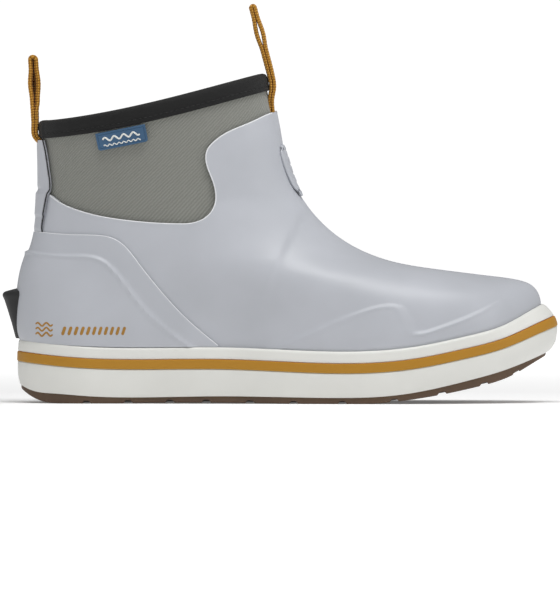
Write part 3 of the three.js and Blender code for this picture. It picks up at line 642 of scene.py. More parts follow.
# %% Shin badge
def place_on_front(y, z):
    section, angle = np.full(y.shape, 7.0), math.pi + y * 0.02
    for _ in range(25):
        here, beside, above = skin(section, angle), skin(section, angle + 0.01), skin(section + 0.01, angle)
        angle = angle + np.clip((y - here[:, 1]) / (beside[:, 1] - here[:, 1]) * 0.01, -0.2, 0.2)
        section = section + np.clip((z - here[:, 2]) / (above[:, 2] - here[:, 2]) * 0.01, -0.3, 0.3)
    return section, angle


BADGE_LOW, BADGE_HIGH = 114.2, 143.0
badge_half_width = line_through([(0, 8.2), (0.3, 9.4), (0.7, 10.6), (1, 11.2)])
badge = plane_sheet(-1, 1, -1, 1, 52, 64)
u, v = coordinates(badge)
squeeze = np.sqrt(1 - 0.42 * np.minimum(np.abs(u), 1) ** 6 * np.minimum(np.abs(v), 1) ** 6)
tall = (v * squeeze + 1) / 2
wide = u * squeeze * badge_half_width(tall)
badge_z = mix(BADGE_LOW, BADGE_HIGH, tall)
section, angle = place_on_front(wide, badge_z)
rim = np.maximum(np.abs(u), np.abs(v))
dome = mix(1.9, 1.3, tall) - 0.5 * ease(rim, 0.86, 1.0) - 0.3 * (1 - ease(np.abs(rim - 0.78), 0, 0.06))
waves = np.zeros_like(wide)
for level in (-5.0, 0.0, 5.0):
    line = badge_z - 129 - level - 1.3 * np.sin(wide * 0.75)
    waves += 0.35 * (1 - ease(np.abs(line), 0.55, 1.15)) * (1 - ease(np.abs(wide), 5.6, 6.6))
badge_points = off_skin(section, angle, dome + waves)
lay(badge.verts, badge_points)
face_towards(badge, Vector((1, 0, 0)))
piece("shin_badge", badge, wall=1.2, replaces=["front_badge"])

# %% [markdown]
# ## Neoprene sleeve and lining
#
# The sleeve shows through the two windows, sunk about two millimetres below the rubber's face and
# a little less near the collar. The lining follows it inside.

# %% Sleeve and lining
SLEEVE_SUNK, SLEEVE_SUNK_AT_COLLAR, LINING_SUNK = 2.5, 1.9, 6.3
sleeve = plane_sheet(0, 2 * math.pi, 0.2, COLLAR, 260, 110)
bend_sheet(sleeve, lambda base, section: -mix(SLEEVE_SUNK, SLEEVE_SUNK_AT_COLLAR, ease(section, 6.2, 7.4)))
piece("ankle_sleeve", sleeve, wall=2.8, replaces=["neoprene_sleeve"])

lining = plane_sheet(0, 2 * math.pi, -1, COLLAR, 160, 90)
bend_sheet(lining, lambda base, section: np.full(section.shape, -LINING_SUNK))
piece("lining_sock", lining, wall=0.9, replaces=["lining"])

# %% [markdown]
# ## Closed rings
#
# The foxing, its stripe and the collar binding are rings of one cross-section. A grid with angle
# along one side and the section's outline along the other is bent into the ring and both of its
# seams are welded, which leaves a closed tube with even faces.

# %% Ring maker
def ring_piece(name, columns, profile_count, at, replaces):
    """at(angle, row) gives points; row counts round the closed cross-section."""
    sheet = plane_sheet(0, 2 * math.pi, 0, profile_count, columns, profile_count)
    angle, row = coordinates(sheet)
    points = at(angle, np.rint(row).astype(int) % profile_count)
    around = np.interp(angle, ring_table, ring_length)
    map_surface(sheet, around / 10, row / profile_count)
    lay(sheet.verts, points)
    weld(sheet)
    face_out(sheet)
    return piece(name, sheet, replaces=replaces)


ring_table = np.linspace(0, 2 * math.pi, 1200)
ring_points = np.stack(outline_point(ring_table), -1)
ring_length = travel(ring_points)
print("foxing measures %.0f mm round" % ring_length[-1])

# %% [markdown]
# ## The foxing
#
# The white wall round the sole is a strip of rubber with a rolled top lip, a square groove for
# the stripe, and a thick bumper at the toe. Each row of its section below is a height, counted
# from one of the boot's lines, and a depth under the outer face.

# %% Foxing
STRIPE_UNDER_TOP = 6.6
STRIPE_HEIGHT = 5.5


def stripe_top(x):
    return foxing_top(x) - STRIPE_UNDER_TOP


def fall_back(angle, share):
    toe = toe_share(angle)
    high = (0.7 + 6.6 * toe) * np.maximum(0, 2 * share - 1) ** 2
    return high + (1.4 + 3.1 * toe) * np.maximum(0, 1 - 2 * share) ** 3


def foxing_point(angle, height, depth, to_wall):
    x = outline_point(angle)[0]
    share = (height - foxing_bottom(x)) / (foxing_top(x) - foxing_bottom(x))
    inset = mix(fall_back(angle, share) + depth, foxing_wall(angle), to_wall)
    place = inset_point(angle, inset)
    return np.stack([place[0], place[1], height], -1)


# base line, height above it, depth under the face, share of the way to the inner wall
FOXING_ROWS = [
    ("bottom", 0.0, 0, 1.0), ("bottom", 0.0, 0.7, 0), ("bottom", 0.2, 0.2, 0), ("bottom", 0.7, 0, 0),
    ("bottom", 2.2, 0, 0), ("bottom", 4.2, 0, 0), ("bottom", 6.5, 0, 0), ("stripe", -3.5, 0, 0),
    ("stripe", -0.7, 0, 0),
    ("stripe", -0.25, 0.12, 0), ("stripe", -0.1, 0.4, 0), ("stripe", -0.1, 1.2, 0),
    ("stripe", 5.6, 1.2, 0), ("stripe", 5.6, 0.4, 0), ("stripe", 5.75, 0.12, 0),
    ("stripe", 6.2, 0, 0), ("stripe", 7.6, 0, 0), ("top", -3.2, 0, 0), ("top", -1.9, 0, 0),
    ("top", -1.0, 0.05, 0), ("top", -0.4, 0, 0.18), ("top", -0.05, 0, 0.45), ("top", 0.0, 0, 0.75),
    ("top", -0.3, 0, 0.97), ("top", -1.2, 0, 1.0),
]


LINES = {
    "bottom": lambda x: foxing_bottom(x) - LOWER_LIP,
    "stripe": lambda x: stripe_top(x) - STRIPE_HEIGHT,
    "top": foxing_top,
}


def ring_from_rows(rows):
    def at(angle, row):
        x = outline_point(angle)[0]
        points = np.zeros(angle.shape + (3,))
        for k, (base, above, depth, to_wall) in enumerate(rows):
            here = row == k
            height = LINES[base](x[here]) + above
            points[here] = foxing_point(angle[here], height, depth, to_wall)
        return points
    return at


ring_piece("foxing_wall", 420, len(FOXING_ROWS), ring_from_rows(FOXING_ROWS),
           ["foxing"])

STRIPE_ROWS = [
    ("stripe", 0.05, 0.9, 0), ("stripe", 0.05, 0.0, 0), ("stripe", 0.25, -0.22, 0), ("stripe", 0.8, -0.3, 0),
    ("stripe", 1.6, -0.3, 0), ("stripe", 2.8, -0.3, 0), ("stripe", 4.0, -0.3, 0), ("stripe", 4.8, -0.3, 0),
    ("stripe", 5.25, -0.22, 0), ("stripe", 5.45, 0.0, 0), ("stripe", 5.45, 0.9, 0),
]
ring_piece("gold_stripe", 420, len(STRIPE_ROWS), ring_from_rows(STRIPE_ROWS),
           ["foxing_stripe"])

# %% [markdown]
# ## The outsole
#
# The gum outsole is 5 mm of soft rubber. Grooves run in from both edges for grip and die
# away towards the middle. The grid runs from heel to toe; extra stations stand at each groove's
# four corners, so the notches that show along the edge keep straight flanks.

# %% Outsole
GROOVES = [-107, -84, -61, -41, -17, 7, 34, 63, 90, 114, 134]
GROOVE_TOP_HALF, GROOVE_FOOT_HALF, GROOVE_DEPTH = 1.3, 2.6, 1.7
EDGE_ROUNDING = 1.0
stations = set(np.linspace(HEEL_X + 0.02, TOE_X - 0.02, 150))
for step in (0.1, 0.4, 0.9, 1.4):
    stations |= {HEEL_X + step, TOE_X - step}
for middle in GROOVES:
    stations = {x for x in stations if abs(x - middle) > GROOVE_FOOT_HALF + 0.5}
    stations |= {middle + side * half for side in (-1, 1) for half in (GROOVE_TOP_HALF, GROOVE_FOOT_HALF)}
stations = np.array(sorted(stations))
groove_rise = np.zeros_like(stations)
for middle in GROOVES:
    cut = (GROOVE_FOOT_HALF - np.abs(stations - middle)) / (GROOVE_FOOT_HALF - GROOVE_TOP_HALF)
    groove_rise = np.maximum(groove_rise, GROOVE_DEPTH * np.clip(cut, 0, 1))

# height above the ground line, inset beyond the set-back, side (-1 outer, 1 inner), share across
OUTSOLE_ROWS = [
    (None, 0, -1, 0), (2.6, 0, -1, 0), (EDGE_ROUNDING, 0, -1, 0), (0.3, 0.3, -1, 0),
    (0, EDGE_ROUNDING, -1, 0),
    (0, EDGE_ROUNDING, -1, 0.25), (0, EDGE_ROUNDING, -1, 0.5), (0, EDGE_ROUNDING, -1, 0.75),
    (0, EDGE_ROUNDING, 1, 0), (0.3, 0.3, 1, 0), (EDGE_ROUNDING, 0, 1, 0), (2.6, 0, 1, 0), (None, 0, 1, 0),
    (None, 4, 1, 0), (None, 4, -1, 0),
]
outsole = plane_sheet(0, len(stations) - 1, 0, len(OUTSOLE_ROWS), len(stations) - 1, len(OUTSOLE_ROWS))
column, row = coordinates(outsole)
column, row = np.rint(column).astype(int), np.rint(row).astype(int) % len(OUTSOLE_ROWS)
sole_angle = np.arccos(np.clip(1 - 2 * (stations - HEEL_X) / SOLE_LENGTH, -1, 1))[column]
outsole_points = np.zeros(column.shape + (3,))
for k, (above, extra, side, across) in enumerate(OUTSOLE_ROWS):
    here = row == k
    angle = sole_angle[here] if side < 0 else 2 * math.pi - sole_angle[here]
    x = stations[column[here]]
    inset = fall_back(angle, 0) + 0.7 + 1.2 * toe_share(angle) + extra
    near = np.array(inset_point(angle, inset))
    if across:
        far = np.array(inset_point(2 * math.pi - angle, inset))
        near = mix(near, far, across)
    floor = np.maximum(0, ground_line(x)) + groove_rise[column[here]] * (across != 0.5)
    top = foxing_bottom(x) - 0.05
    height = top if above is None else np.minimum(np.maximum(ground_line(x) + above, floor), top)
    outsole_points[here] = np.stack([near[0], near[1], height], -1)
lay(outsole.verts, outsole_points)
weld(outsole)
close_ends(outsole)
face_out(outsole)
outsole_piece = piece("gum_outsole", outsole, replaces=["outsole"])
for polygon in outsole_piece.data.polygons:
    polygon.use_smooth = False

# %% [markdown]
# ## The collar binding
#
# A knitted tape is folded over the collar and sewn through all layers. Its section is a long
# hairpin. Behind the outer ankle the tape's end laps over its start, which shows as one step.

# %% Collar binding
BINDING_ROWS = [
    # height from the collar edge, offset from the rubber's face
    (-8.1, -1.9), (-8.2, -0.95), (-7.95, -0.55), (-7.3, -0.35), (-6.2, -0.3), (-5.6, -0.42), (-5.0, -0.3),
    (-2.6, -0.1), (-0.8, -0.3), (0.4, -0.65), (1.15, -1.4), (1.6, -2.6), (1.7, -4.4), (1.6, -6.4),
    (1.15, -7.8), (0.4, -8.5), (-0.8, -8.8), (-4.5, -8.9), (-7.3, -8.8), (-7.95, -8.6), (-8.2, -8.1),
    (-8.1, -7.4), (-0.4, -7.3), (-0.4, -2.0),
]
LAP_AT, LAP_SECTION = -130.6, 8.6
lap_back, lap_front = back_x(LAP_SECTION), front_x(LAP_SECTION)
lap_angle = float(angle_of(np.array([(LAP_AT - lap_back) / (lap_front - lap_back)]), -1)[0])


def near_collar(angle, height, offset):
    edge = skin(np.full(angle.shape, float(COLLAR)), angle)
    below = skin(np.full(angle.shape, COLLAR - 0.5), angle)
    slope = np.linalg.norm(edge - below, axis=-1) * 2
    section = COLLAR + np.minimum(height, 0) / slope
    rising = (edge - below) / np.linalg.norm(edge - below, axis=-1, keepdims=True)
    return off_skin(section, angle, offset) + rising * np.maximum(height, 0)[..., None]


binding_rows = np.array(BINDING_ROWS)


def binding_at(angle, row):
    height, offset = binding_rows[row].T
    turn = from_behind(angle)
    lap = (1 - ease(turn, lap_angle - 0.03, lap_angle)) * ease(turn, lap_angle - 0.5, lap_angle - 0.1)
    outside = (row > 0) & (row < 11)
    return near_collar(angle, height, offset + np.where(outside, 0.55 * lap, 0))


ring_piece("collar_tape", 300, len(BINDING_ROWS), binding_at, ["collar_binding"])

# %% [markdown]
# ## Stitches
#
# The tape is held by a row of lock stitches near its lower edge. Each stitch is a short bead of
# thread that dips into the tape at both ends, made of a small sphere stretched along the seam.

# %% Stitches
STITCH_PITCH, STITCH_LENGTH, STITCH_THICKNESS = 3.0, 2.3, 0.5


def stitch_row(name, places, directions, normals, length, thickness):
    sheet = bmesh.new()
    for place, along, normal in zip(places, directions, normals):
        along, normal = Vector(along).normalized(), Vector(normal).normalized()
        across = normal.cross(along).normalized()
        turn = Matrix((along * length / 2, across * thickness / 2, normal * thickness / 2)).transposed()
        where = Matrix.Translation(Vector(place) * MM) @ (turn * MM).to_4x4()
        bmesh.ops.create_uvsphere(sheet, u_segments=8, v_segments=6, radius=1, matrix=where)
    return piece(name, sheet)


seam_table = np.linspace(0, 2 * math.pi, 2000)
SEAM_HEIGHT, SEAM_OFFSET = -5.6, -0.36


def on_seam(angle):
    return near_collar(angle, np.full(angle.shape, SEAM_HEIGHT), np.full(angle.shape, SEAM_OFFSET))


seam_points = on_seam(seam_table)
seam_length = travel(seam_points)
stitch_count = int(seam_length[-1] / STITCH_PITCH)
seam_angle = np.interp(np.arange(stitch_count) * seam_length[-1] / stitch_count, seam_length, seam_table)
seam_places = on_seam(seam_angle)
seam_ahead = on_seam(seam_angle + 0.01) - seam_places
seam_out = outward(np.full(stitch_count, COLLAR - 0.3), seam_angle)
stitch_row("collar_stitches", seam_places, seam_ahead, seam_out, STITCH_LENGTH, STITCH_THICKNESS)

# %% [markdown]
# ## Pull loops
#
# Each loop is one length of flat webbing folded double. Both layers run up outside the tape,
# bend at the collar and meet in a fold at the top, leaving a narrow slit. One flat ribbon is
# swept along that hairpin.

# %% Pull loops
WEBBING_WIDTH, WEBBING_THICKNESS = 12.0, 2.5
RIBBON_SIDES = 16
PIVOT_AT = 6


def side_place(section, angle, offset, rise=0.0):
    angle = np.array([angle])
    edge = off_skin(np.array([section]), angle, np.array([offset]))[0]
    up = skin(np.array([section]), angle)[0] - skin(np.array([section - 0.1]), angle)[0]
    return edge + up / np.linalg.norm(up) * rise


def webbing_loop(name, angle, lean, length, tuck, outer_lift, tape_foot, replaces, twist):
    pivot = side_place(COLLAR, angle, 1.8, 3.3)
    up = np.array([-math.sin(lean), 0, math.cos(lean)])
    side = np.array([math.cos(lean), 0, math.sin(lean)])
    axis = [side_place(tuck - 0.12, angle, -3.1), side_place(tuck, angle, -2.5),
            side_place(mix(tuck, tape_foot, 0.35), angle, -1.9 + outer_lift),
            side_place(mix(tuck, tape_foot, 0.75), angle, -0.8 + outer_lift),
            side_place(tape_foot + 0.05, angle, 1.5), side_place(COLLAR - 0.02, angle, 1.9), pivot]
    axis += [pivot + up * step for step in np.linspace(3, length - 2.6, 12)]
    axis = np.array(axis)
    run = travel(axis)
    spacing = np.arange(0, run[-1], 0.8)
    spine = np.stack([line_through(list(zip(run, axis[:, k])))(spacing) for k in range(3)], -1)
    pivot_run = run[PIVOT_AT]
    heading = np.gradient(spine, axis=0)
    heading /= np.linalg.norm(heading, axis=1, keepdims=True)
    square = np.stack([heading[:, 2], np.zeros(len(heading)), -heading[:, 0]], -1)
    above = np.clip((spacing - pivot_run - 2) / (run[-1] - pivot_run - 2), 0, 1)
    gap = mix(0.84, 1.02, ease(spacing, pivot_run * 0.4, pivot_run + 4))
    gap = gap + 0.75 * np.sin(np.pi * np.clip((above - 0.24) / 0.62, 0, 1)) ** 2
    far = spine + square * gap[:, None]
    near = spine - square * gap[:, None]
    fold = [spine[-1] + side * 1.12 * math.cos(t) + up * 1.4 * math.sin(t)
            for t in np.linspace(0, math.pi, 9)[1:-1]]
    path = np.vstack([far, fold, near[::-1]])
    ahead = np.gradient(path, axis=0)
    ahead /= np.linalg.norm(ahead, axis=1, keepdims=True)
    travelled = travel(path)
    count = len(path)
    sheet = plane_sheet(0, count - 1, 0, RIBBON_SIDES, count - 1, RIBBON_SIDES)
    place, row = coordinates(sheet)
    place, row = np.rint(place).astype(int), np.rint(row).astype(int)
    corner = np.arange(RIBBON_SIDES) / RIBBON_SIDES * 2 * math.pi + math.pi / RIBBON_SIDES
    flat = np.sign(np.cos(corner)) * np.abs(np.cos(corner)) ** 0.55
    thick = np.sign(np.sin(corner)) * np.abs(np.sin(corner)) ** 0.8
    map_surface(sheet, travelled[place] / 10, row / RIBBON_SIDES)
    free = np.concatenate([above, np.ones(len(fold)), above[::-1]])
    turn = twist * ease(free, 0, 0.25) * mix(1.0, 0.3, ease(np.arange(count) / count, 0.4, 0.6))
    across = np.stack([np.zeros(count), np.ones(count), np.zeros(count)], -1)
    normal = np.cross(ahead, across)
    wide = across * np.cos(turn)[:, None] + normal * np.sin(turn)[:, None]
    deep = normal * np.cos(turn)[:, None] - across * np.sin(turn)[:, None]
    height = np.concatenate([spacing, np.full(len(fold), run[-1]), spacing[::-1]])
    press = mix(0.8, 1.0, ease(height, pivot_run * 0.4, pivot_run + 4))
    wave = press * (1 + 0.05 * np.sin(travelled / 1.15 * math.pi))
    row = row % RIBBON_SIDES
    points = path[place] + wide[place] * flat[row, None] * WEBBING_WIDTH / 2
    lay(sheet.verts, points + deep[place] * (thick[row] * wave[place])[:, None] * WEBBING_THICKNESS / 2)
    weld(sheet)
    close_ends(sheet)
    face_out(sheet)
    made = smooth_object(name, sheet)
    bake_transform(made)
    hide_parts(*replaces)
    print(name, "is", round(float(travelled[-1])), "mm of webbing")


webbing_loop("front_webbing", math.pi, math.radians(15), 38,
             COLLAR - 0.5, 0.0, COLLAR - 0.19, ["front_loop_root", "front_pull_loop"], 0.0)
webbing_loop("rear_webbing", 0.0, math.radians(2), 35,
             COLLAR - 0.42, 0.2, COLLAR - 0.29, ["rear_loop_root", "rear_pull_loop"], 0.26)

# %% [markdown]
# ## The kick-off tab
#
# A ledge of hard rubber at the heel lets the other foot hold the boot while it is pulled off. One
# profile is swept round half an ellipse and its two ends run into the counter.

# %% Kick-off tab
TAB_HALF_WIDTH, TAB_DEPTH = 14.0, 20.0
tab_foot = float(foxing_top(HEEL_X)) + 0.3
tab_rows = np.array([
    (13, tab_foot), (7.6, tab_foot), (7.2, tab_foot + 0.8), (5.2, 44), (2.9, 51.5), (1.1, 57), (0.35, 58.6),
    (0.05, 59.5), (0.3, 60.5), (1.0, 61.3), (1.9, 61.75), (4.0, 62.35), (8.5, 63.5), (11, 64.3), (15, 64.3),
])
tab = plane_sheet(-1.5, 1.5, 0, len(tab_rows) - 1, 60, len(tab_rows) - 1)
swing, row = coordinates(tab)
inset, height = tab_rows[np.rint(row).astype(int)].T
tab_tip = HEEL_X - KICK_TAB_REACH
tab_points = np.stack([
    tab_tip + TAB_DEPTH - (TAB_DEPTH - inset) * np.cos(swing),
    (TAB_HALF_WIDTH - inset * 0.5) * np.sin(swing),
    height,
], -1)
lay(tab.verts, tab_points)
close_ends(tab)
face_out(tab)
tab_piece = piece("kick_off_tab", tab, replaces=["kick_tab"])
tab_edges = tab_piece.modifiers.new("Soft arris", "BEVEL")
tab_edges.width = 0.3 * MM
tab_edges.segments = 2
tab_edges.angle_limit = math.radians(40)

# %% [markdown]
# ## The side tag
#
# The blue tag hangs from the tape by its top edge. It has rounded lower corners and a fine border
# pressed into it. Its wording is replaced by two rows of waves, raised beads of white rubber.

# %% Side tag
TAG_LENGTH, TAG_HEIGHT, TAG_CORNER, TAG_THICKNESS = 28.5, 9.7, 1.6, 1.15
TAG_WAVE_FROM, TAG_WAVE_TO = 3.6, 24.6
tag_corner = Vector((-102.274, -35.493, 148.838))
tag_along = Vector((0.9666, -0.1723, 0.1897)).normalized()
tag_outward = Vector((-0.1609, -0.9842, -0.0742)).normalized()
tag_up = tag_outward.cross(tag_along)

tag = plane_sheet(0, TAG_LENGTH, -TAG_HEIGHT, 0, 190, 66)
u, v = coordinates(tag)
low = v < TAG_CORNER - TAG_HEIGHT
rounding = np.maximum(0, TAG_CORNER ** 2 - (TAG_CORNER - TAG_HEIGHT - v) ** 2)
reach = np.where(low, TAG_CORNER - np.sqrt(rounding), 0)
u = mix(reach, TAG_LENGTH - reach, u / TAG_LENGTH)
edge_gap = np.minimum(np.minimum(u - reach, TAG_LENGTH - reach - u), np.minimum(v + TAG_HEIGHT, -v))
press = -0.28 * (1 - ease(np.abs(edge_gap - 1.15), 0.08, 0.3)) - 0.22 * (1 - ease(edge_gap, 0, 0.35))
sag = -0.55 * (2 * u / TAG_LENGTH - 1) ** 2
for vertex, du, dv, dn in zip(tag.verts, u, v, press + sag):
    vertex.co = (tag_corner + tag_along * float(du) + tag_up * float(dv) + tag_outward * float(dn)) * MM
weld(tag)
face_towards(tag, tag_outward)
for name, level, swell, pitch, thickness in (("large", 4.1, 1.0, 5.4, 0.5), ("small", 7.5, 0.45, 2.7, 0.3)):
    reach = np.linspace(TAG_WAVE_FROM, TAG_WAVE_TO, 130)
    height = -level + swell * np.sin((reach - TAG_WAVE_FROM) * 2 * math.pi / pitch)
    lift = -0.5 * (2 * reach / TAG_LENGTH - 1) ** 2 - 0.05
    line = [tag_corner + tag_along * a + tag_up * b + tag_outward * c for a, b, c in zip(reach, height, lift)]
    round_line("tag_wave_" + name, [point[:] for point in line], thickness, body="tag")
piece("side_tag_plate", tag, body="tag", wall=TAG_THICKNESS - 0.3, replaces=["side_tag"])

# %% [markdown]
# ## Printed marks on the heel
#
# A line of gold print runs along the counter. The lettering is replaced by a plain device: three
# waves and a row of slanted bars. Print has no thickness to speak of, but a raised film a
# tenth of a millimetre thick, laid on the sheet, keeps its edges crisp at any distance.

# %% Heel marks
def mark(sheet, spine, width, side):
    """A rounded bar along a spine of x and z points, laid on the counter."""
    spine = np.asarray(spine, float)
    steps = max(6, int(4 * np.hypot(*(spine[-1] - spine[0]))))
    run = np.linspace(0, len(spine) - 1, steps)
    x = np.interp(run, np.arange(len(spine)), spine[:, 0])
    z = np.interp(run, np.arange(len(spine)), spine[:, 1])
    along = np.stack([np.gradient(x), np.gradient(z)], -1)
    along /= np.hypot(*along.T)[:, None]
    made = bmesh.ops.create_grid(sheet, x_segments=steps - 1, y_segments=4, size=1)["verts"]
    flat = np.array([vertex.co[:] for vertex in made])
    i = np.rint((flat[:, 0] + 1) / 2 * (steps - 1)).astype(int)
    end = np.minimum(i, steps - 1 - i) * np.hypot(np.gradient(x), np.gradient(z)).mean()
    half = width / 2 * np.sqrt(np.clip(1 - np.maximum(0, 1 - end / (width / 2)) ** 2, 0.02, 1))
    px = x[i] - along[i, 1] * flat[:, 1] * half
    pz = z[i] + along[i, 0] * flat[:, 1] * half
    section, angle = place_of(px, pz, side)
    lift = COUNTER_LIFT + stiffener_relief(px, pz) + 0.12 - 0.16 * (np.abs(flat[:, 1]) > 0.9)
    points = off_skin(section, angle, lift)
    lay(made, points)


WAVES_FROM, WAVES_TO, WAVES_HEIGHT, WAVE_GAP = -133.5, -124.5, 38.4, 2.6
BARS_FROM, BAR_PITCH, BAR_COUNT, BAR_SLANT = -119.5, 3.25, 11, 1.5
for side, word in ((-1, "outer"), (1, "inner")):
    print_sheet = bmesh.new()
    for k in range(3):
        reach = np.linspace(WAVES_FROM, WAVES_TO, 26)
        height = WAVES_HEIGHT + k * WAVE_GAP + 0.9 * np.sin((reach - WAVES_FROM) * 1.4)
        mark(print_sheet, np.stack([reach, height], -1), 1.1, side)
    for k in range(BAR_COUNT):
        foot = BARS_FROM + k * BAR_PITCH
        mark(print_sheet, [(foot, 37.8), (foot + BAR_SLANT, 42.4)], 1.9, side)
    face_towards(print_sheet, Vector((0, side, 0)))
    piece("heel_print_" + word, print_sheet)

# %% [markdown]
# ## The footbed
#
# Looking down the shaft, one sees the footbed's fabric cover, soft at its rim. It is foam.

# %% Footbed
FOOTBED_LOW, FOOTBED_HIGH = 2.3, 9.7
footbed_rows = [
    (0.0, FOOTBED_LOW), (0, FOOTBED_HIGH - 2.4), (0.5, FOOTBED_HIGH - 0.9), (1.8, FOOTBED_HIGH - 0.1),
    (4.0, FOOTBED_HIGH), (12.0, FOOTBED_HIGH - 0.4),
]
footbed = plane_sheet(0, 2 * math.pi, 0, len(footbed_rows) - 1, 140, len(footbed_rows) - 1)
angle, row = coordinates(footbed)
extra, height = np.array(footbed_rows)[np.rint(row).astype(int)].T
place = inset_point(angle, foxing_wall(angle) + 2 * GAP + 7.2 + extra)
footbed_foot = foxing_top(outline_point(angle)[0]) - WALL_TUCK
footbed_points = np.stack([place[0], place[1], footbed_foot + height], -1)
lay(footbed.verts, footbed_points)
weld(footbed)
close_ends(footbed)
face_out(footbed)
footbed_piece = piece("footbed_pad", footbed, replaces=["footbed", "footbed_cover"])

# %% [markdown]
# ## Finishes
#
# Every finish starts from one shader and adds what the eye would find close up: a fine grain, a
# slow drift of tone, and a weave or knit where there is fabric. Colours drift through a noise
# that reads the piece's own coordinates, so the finish stays with the piece when it moves.

# %% Finish helpers
def colour_of(red, green, blue):
    return red, green, blue, 1


class Finish:
    def __init__(self, name, roughness, sheen=0.0):
        self.material = bpy.data.materials.new(name)
        self.material.use_nodes = True
        self.tree = self.material.node_tree
        self.shader = self.tree.nodes["Principled BSDF"]
        self.shader.inputs["Roughness"].default_value = roughness
        self.shader.inputs["Sheen Weight"].default_value = sheen
        self.place = self.node("ShaderNodeTexCoord").outputs["Object"]

    def node(self, kind, **settings):
        made = self.tree.nodes.new(kind)
        for key, value in settings.items():
            if hasattr(made, key):
                setattr(made, key, value)
            else:
                made.inputs[key.replace("_", " ")].default_value = value
        return made

    def link(self, source, target):
        self.tree.links.new(source, target)

    def noise(self, scale, detail=2.0):
        made = self.node("ShaderNodeTexNoise", Scale=scale, Detail=detail)
        self.link(self.place, made.inputs["Vector"])
        return made.outputs["Fac"]

    def surface(self):
        return self.node("ShaderNodeUVMap", uv_map="Surface").outputs["UV"]

    def wave(self, source, direction, scale, distortion, detail):
        made = self.node("ShaderNodeTexWave", bands_direction=direction, Scale=scale,
                         Distortion=distortion, Detail=detail)
        self.link(source, made.inputs["Vector"])
        return made

    def ramp(self, factor, stops):
        made = self.node("ShaderNodeValToRGB")
        band = made.color_ramp
        while len(band.elements) < len(stops):
            band.elements.new(1.0)
        for element, (position, colour) in zip(band.elements, stops):
            element.position = position
            element.color = colour
        self.link(factor, made.inputs["Fac"])
        return made.outputs["Color"]

    def math(self, operation, a, b):
        made = self.node("ShaderNodeMath", operation=operation)
        for socket, value in zip(made.inputs, (a, b)):
            if isinstance(value, (int, float)):
                socket.default_value = value
            else:
                self.link(value, socket)
        return made.outputs["Value"]

    def colour(self, source):
        self.link(source, self.shader.inputs["Base Color"])

    def bump(self, height, depth, strength=1.0):
        made = self.node("ShaderNodeBump")
        made.inputs["Distance"].default_value = depth * MM
        made.inputs["Strength"].default_value = strength
        if self.shader.inputs["Normal"].is_linked:
            self.link(self.shader.inputs["Normal"].links[0].from_socket, made.inputs["Normal"])
        self.link(height, made.inputs["Height"])
        self.link(made.outputs["Normal"], self.shader.inputs["Normal"])

    def roughness(self, factor, low, high):
        spread = self.node("ShaderNodeMapRange")
        spread.inputs["To Min"].default_value = low
        spread.inputs["To Max"].default_value = high
        self.link(factor, spread.inputs["Value"])
        self.link(spread.outputs["Result"], self.shader.inputs["Roughness"])


def satin(name, roughness, grain=0.02):
    made = Finish(name, roughness)
    made.roughness(made.noise(60, 4), roughness - 0.04, roughness + 0.05)
    made.bump(made.noise(1500, 2), grain, 0.5)
    made.bump(made.noise(160, 3), grain * 2.5, 0.35)
    return made


def rubber(name, dark, light, roughness, grain=0.02):
    made = satin(name, roughness, grain)
    made.colour(made.ramp(made.noise(22, 3), [(0.3, colour_of(*dark)), (0.7, colour_of(*light))]))
    return made


# %% [markdown]
# ## Rubbers
#
# Moulded rubber is satin: a broad soft highlight with a trace of orange peel. Tone and roughness
# differ between the grey upper, white foxing, gum sole and charcoal tab.

# %% Rubber finishes
grey = rubber("grey rubber", (0.425, 0.44, 0.475), (0.47, 0.485, 0.525), 0.43)
white = rubber("warm white rubber", (0.68, 0.68, 0.645), (0.73, 0.73, 0.695), 0.46)
gum = rubber("gum rubber", (0.07, 0.04, 0.022), (0.105, 0.06, 0.031), 0.6)
charcoal = rubber("charcoal rubber", (0.017, 0.017, 0.018), (0.024, 0.024, 0.025), 0.5)
navy = rubber("blue tag rubber", (0.022, 0.075, 0.155), (0.03, 0.095, 0.19), 0.45)

# Painted highlight: the beads on the window and counter edges wear this far lighter grey, for the light line
# that their rolled lip catches.
pale = rubber("pale painted highlight rubber", (0.66, 0.67, 0.69), (0.74, 0.75, 0.77), 0.4)
print_gold = rubber("gold print", (0.31, 0.155, 0.018), (0.36, 0.18, 0.025), 0.5, grain=0.005)

stripe = satin("gold stripe rubber", 0.55)
stripe.shader.inputs["Specular IOR Level"].default_value = 0.3
across = stripe.node("ShaderNodeSeparateXYZ")
stripe.link(stripe.surface(), across.inputs["Vector"])
# Across the stripe from its lower edge up: a lighter band along the lower edge, which is a painted highlight,
# then the gold, then a redder band along the upper edge.
stripe.colour(stripe.ramp(across.outputs["Y"], [
    (0.12, colour_of(0.56, 0.36, 0.1)), (0.2, colour_of(0.42, 0.205, 0.018)),
    (0.7, colour_of(0.42, 0.2, 0.016)), (0.82, colour_of(0.46, 0.15, 0.015)),
]))

# %% [markdown]
# ## Fabrics
#
# The sleeve's face fabric is ribbed on the slant. The ribs come from a wave running across the
# piece's own surface map, which is measured in centimetres, so the pitch is a real one.

# %% Fabric finishes
ribbed = Finish("ribbed neoprene", 0.85, sheen=0.25)
turned = ribbed.node("ShaderNodeMapping")
turned.inputs["Rotation"].default_value = (0, 0, math.radians(50))
ribbed.link(ribbed.surface(), turned.inputs["Vector"])
ribs = ribbed.wave(turned.outputs["Vector"], "X", 2.35, 2.2, 3.0)
ribs.inputs["Detail Scale"].default_value = 3.0
# The colour follows the ribs: darker in the grooves, which is painted shade, and lighter on the ribs.
ribbed.colour(ribbed.ramp(ribs.outputs["Fac"], [
    (0.0, colour_of(0.182, 0.185, 0.164)),
    (0.5, colour_of(0.205, 0.208, 0.186)),
    (1.0, colour_of(0.23, 0.234, 0.21)),
]))
ribbed.bump(ribs.outputs["Fac"], 0.16, 0.8)
ribbed.bump(ribbed.noise(2600, 2), 0.06, 0.5)


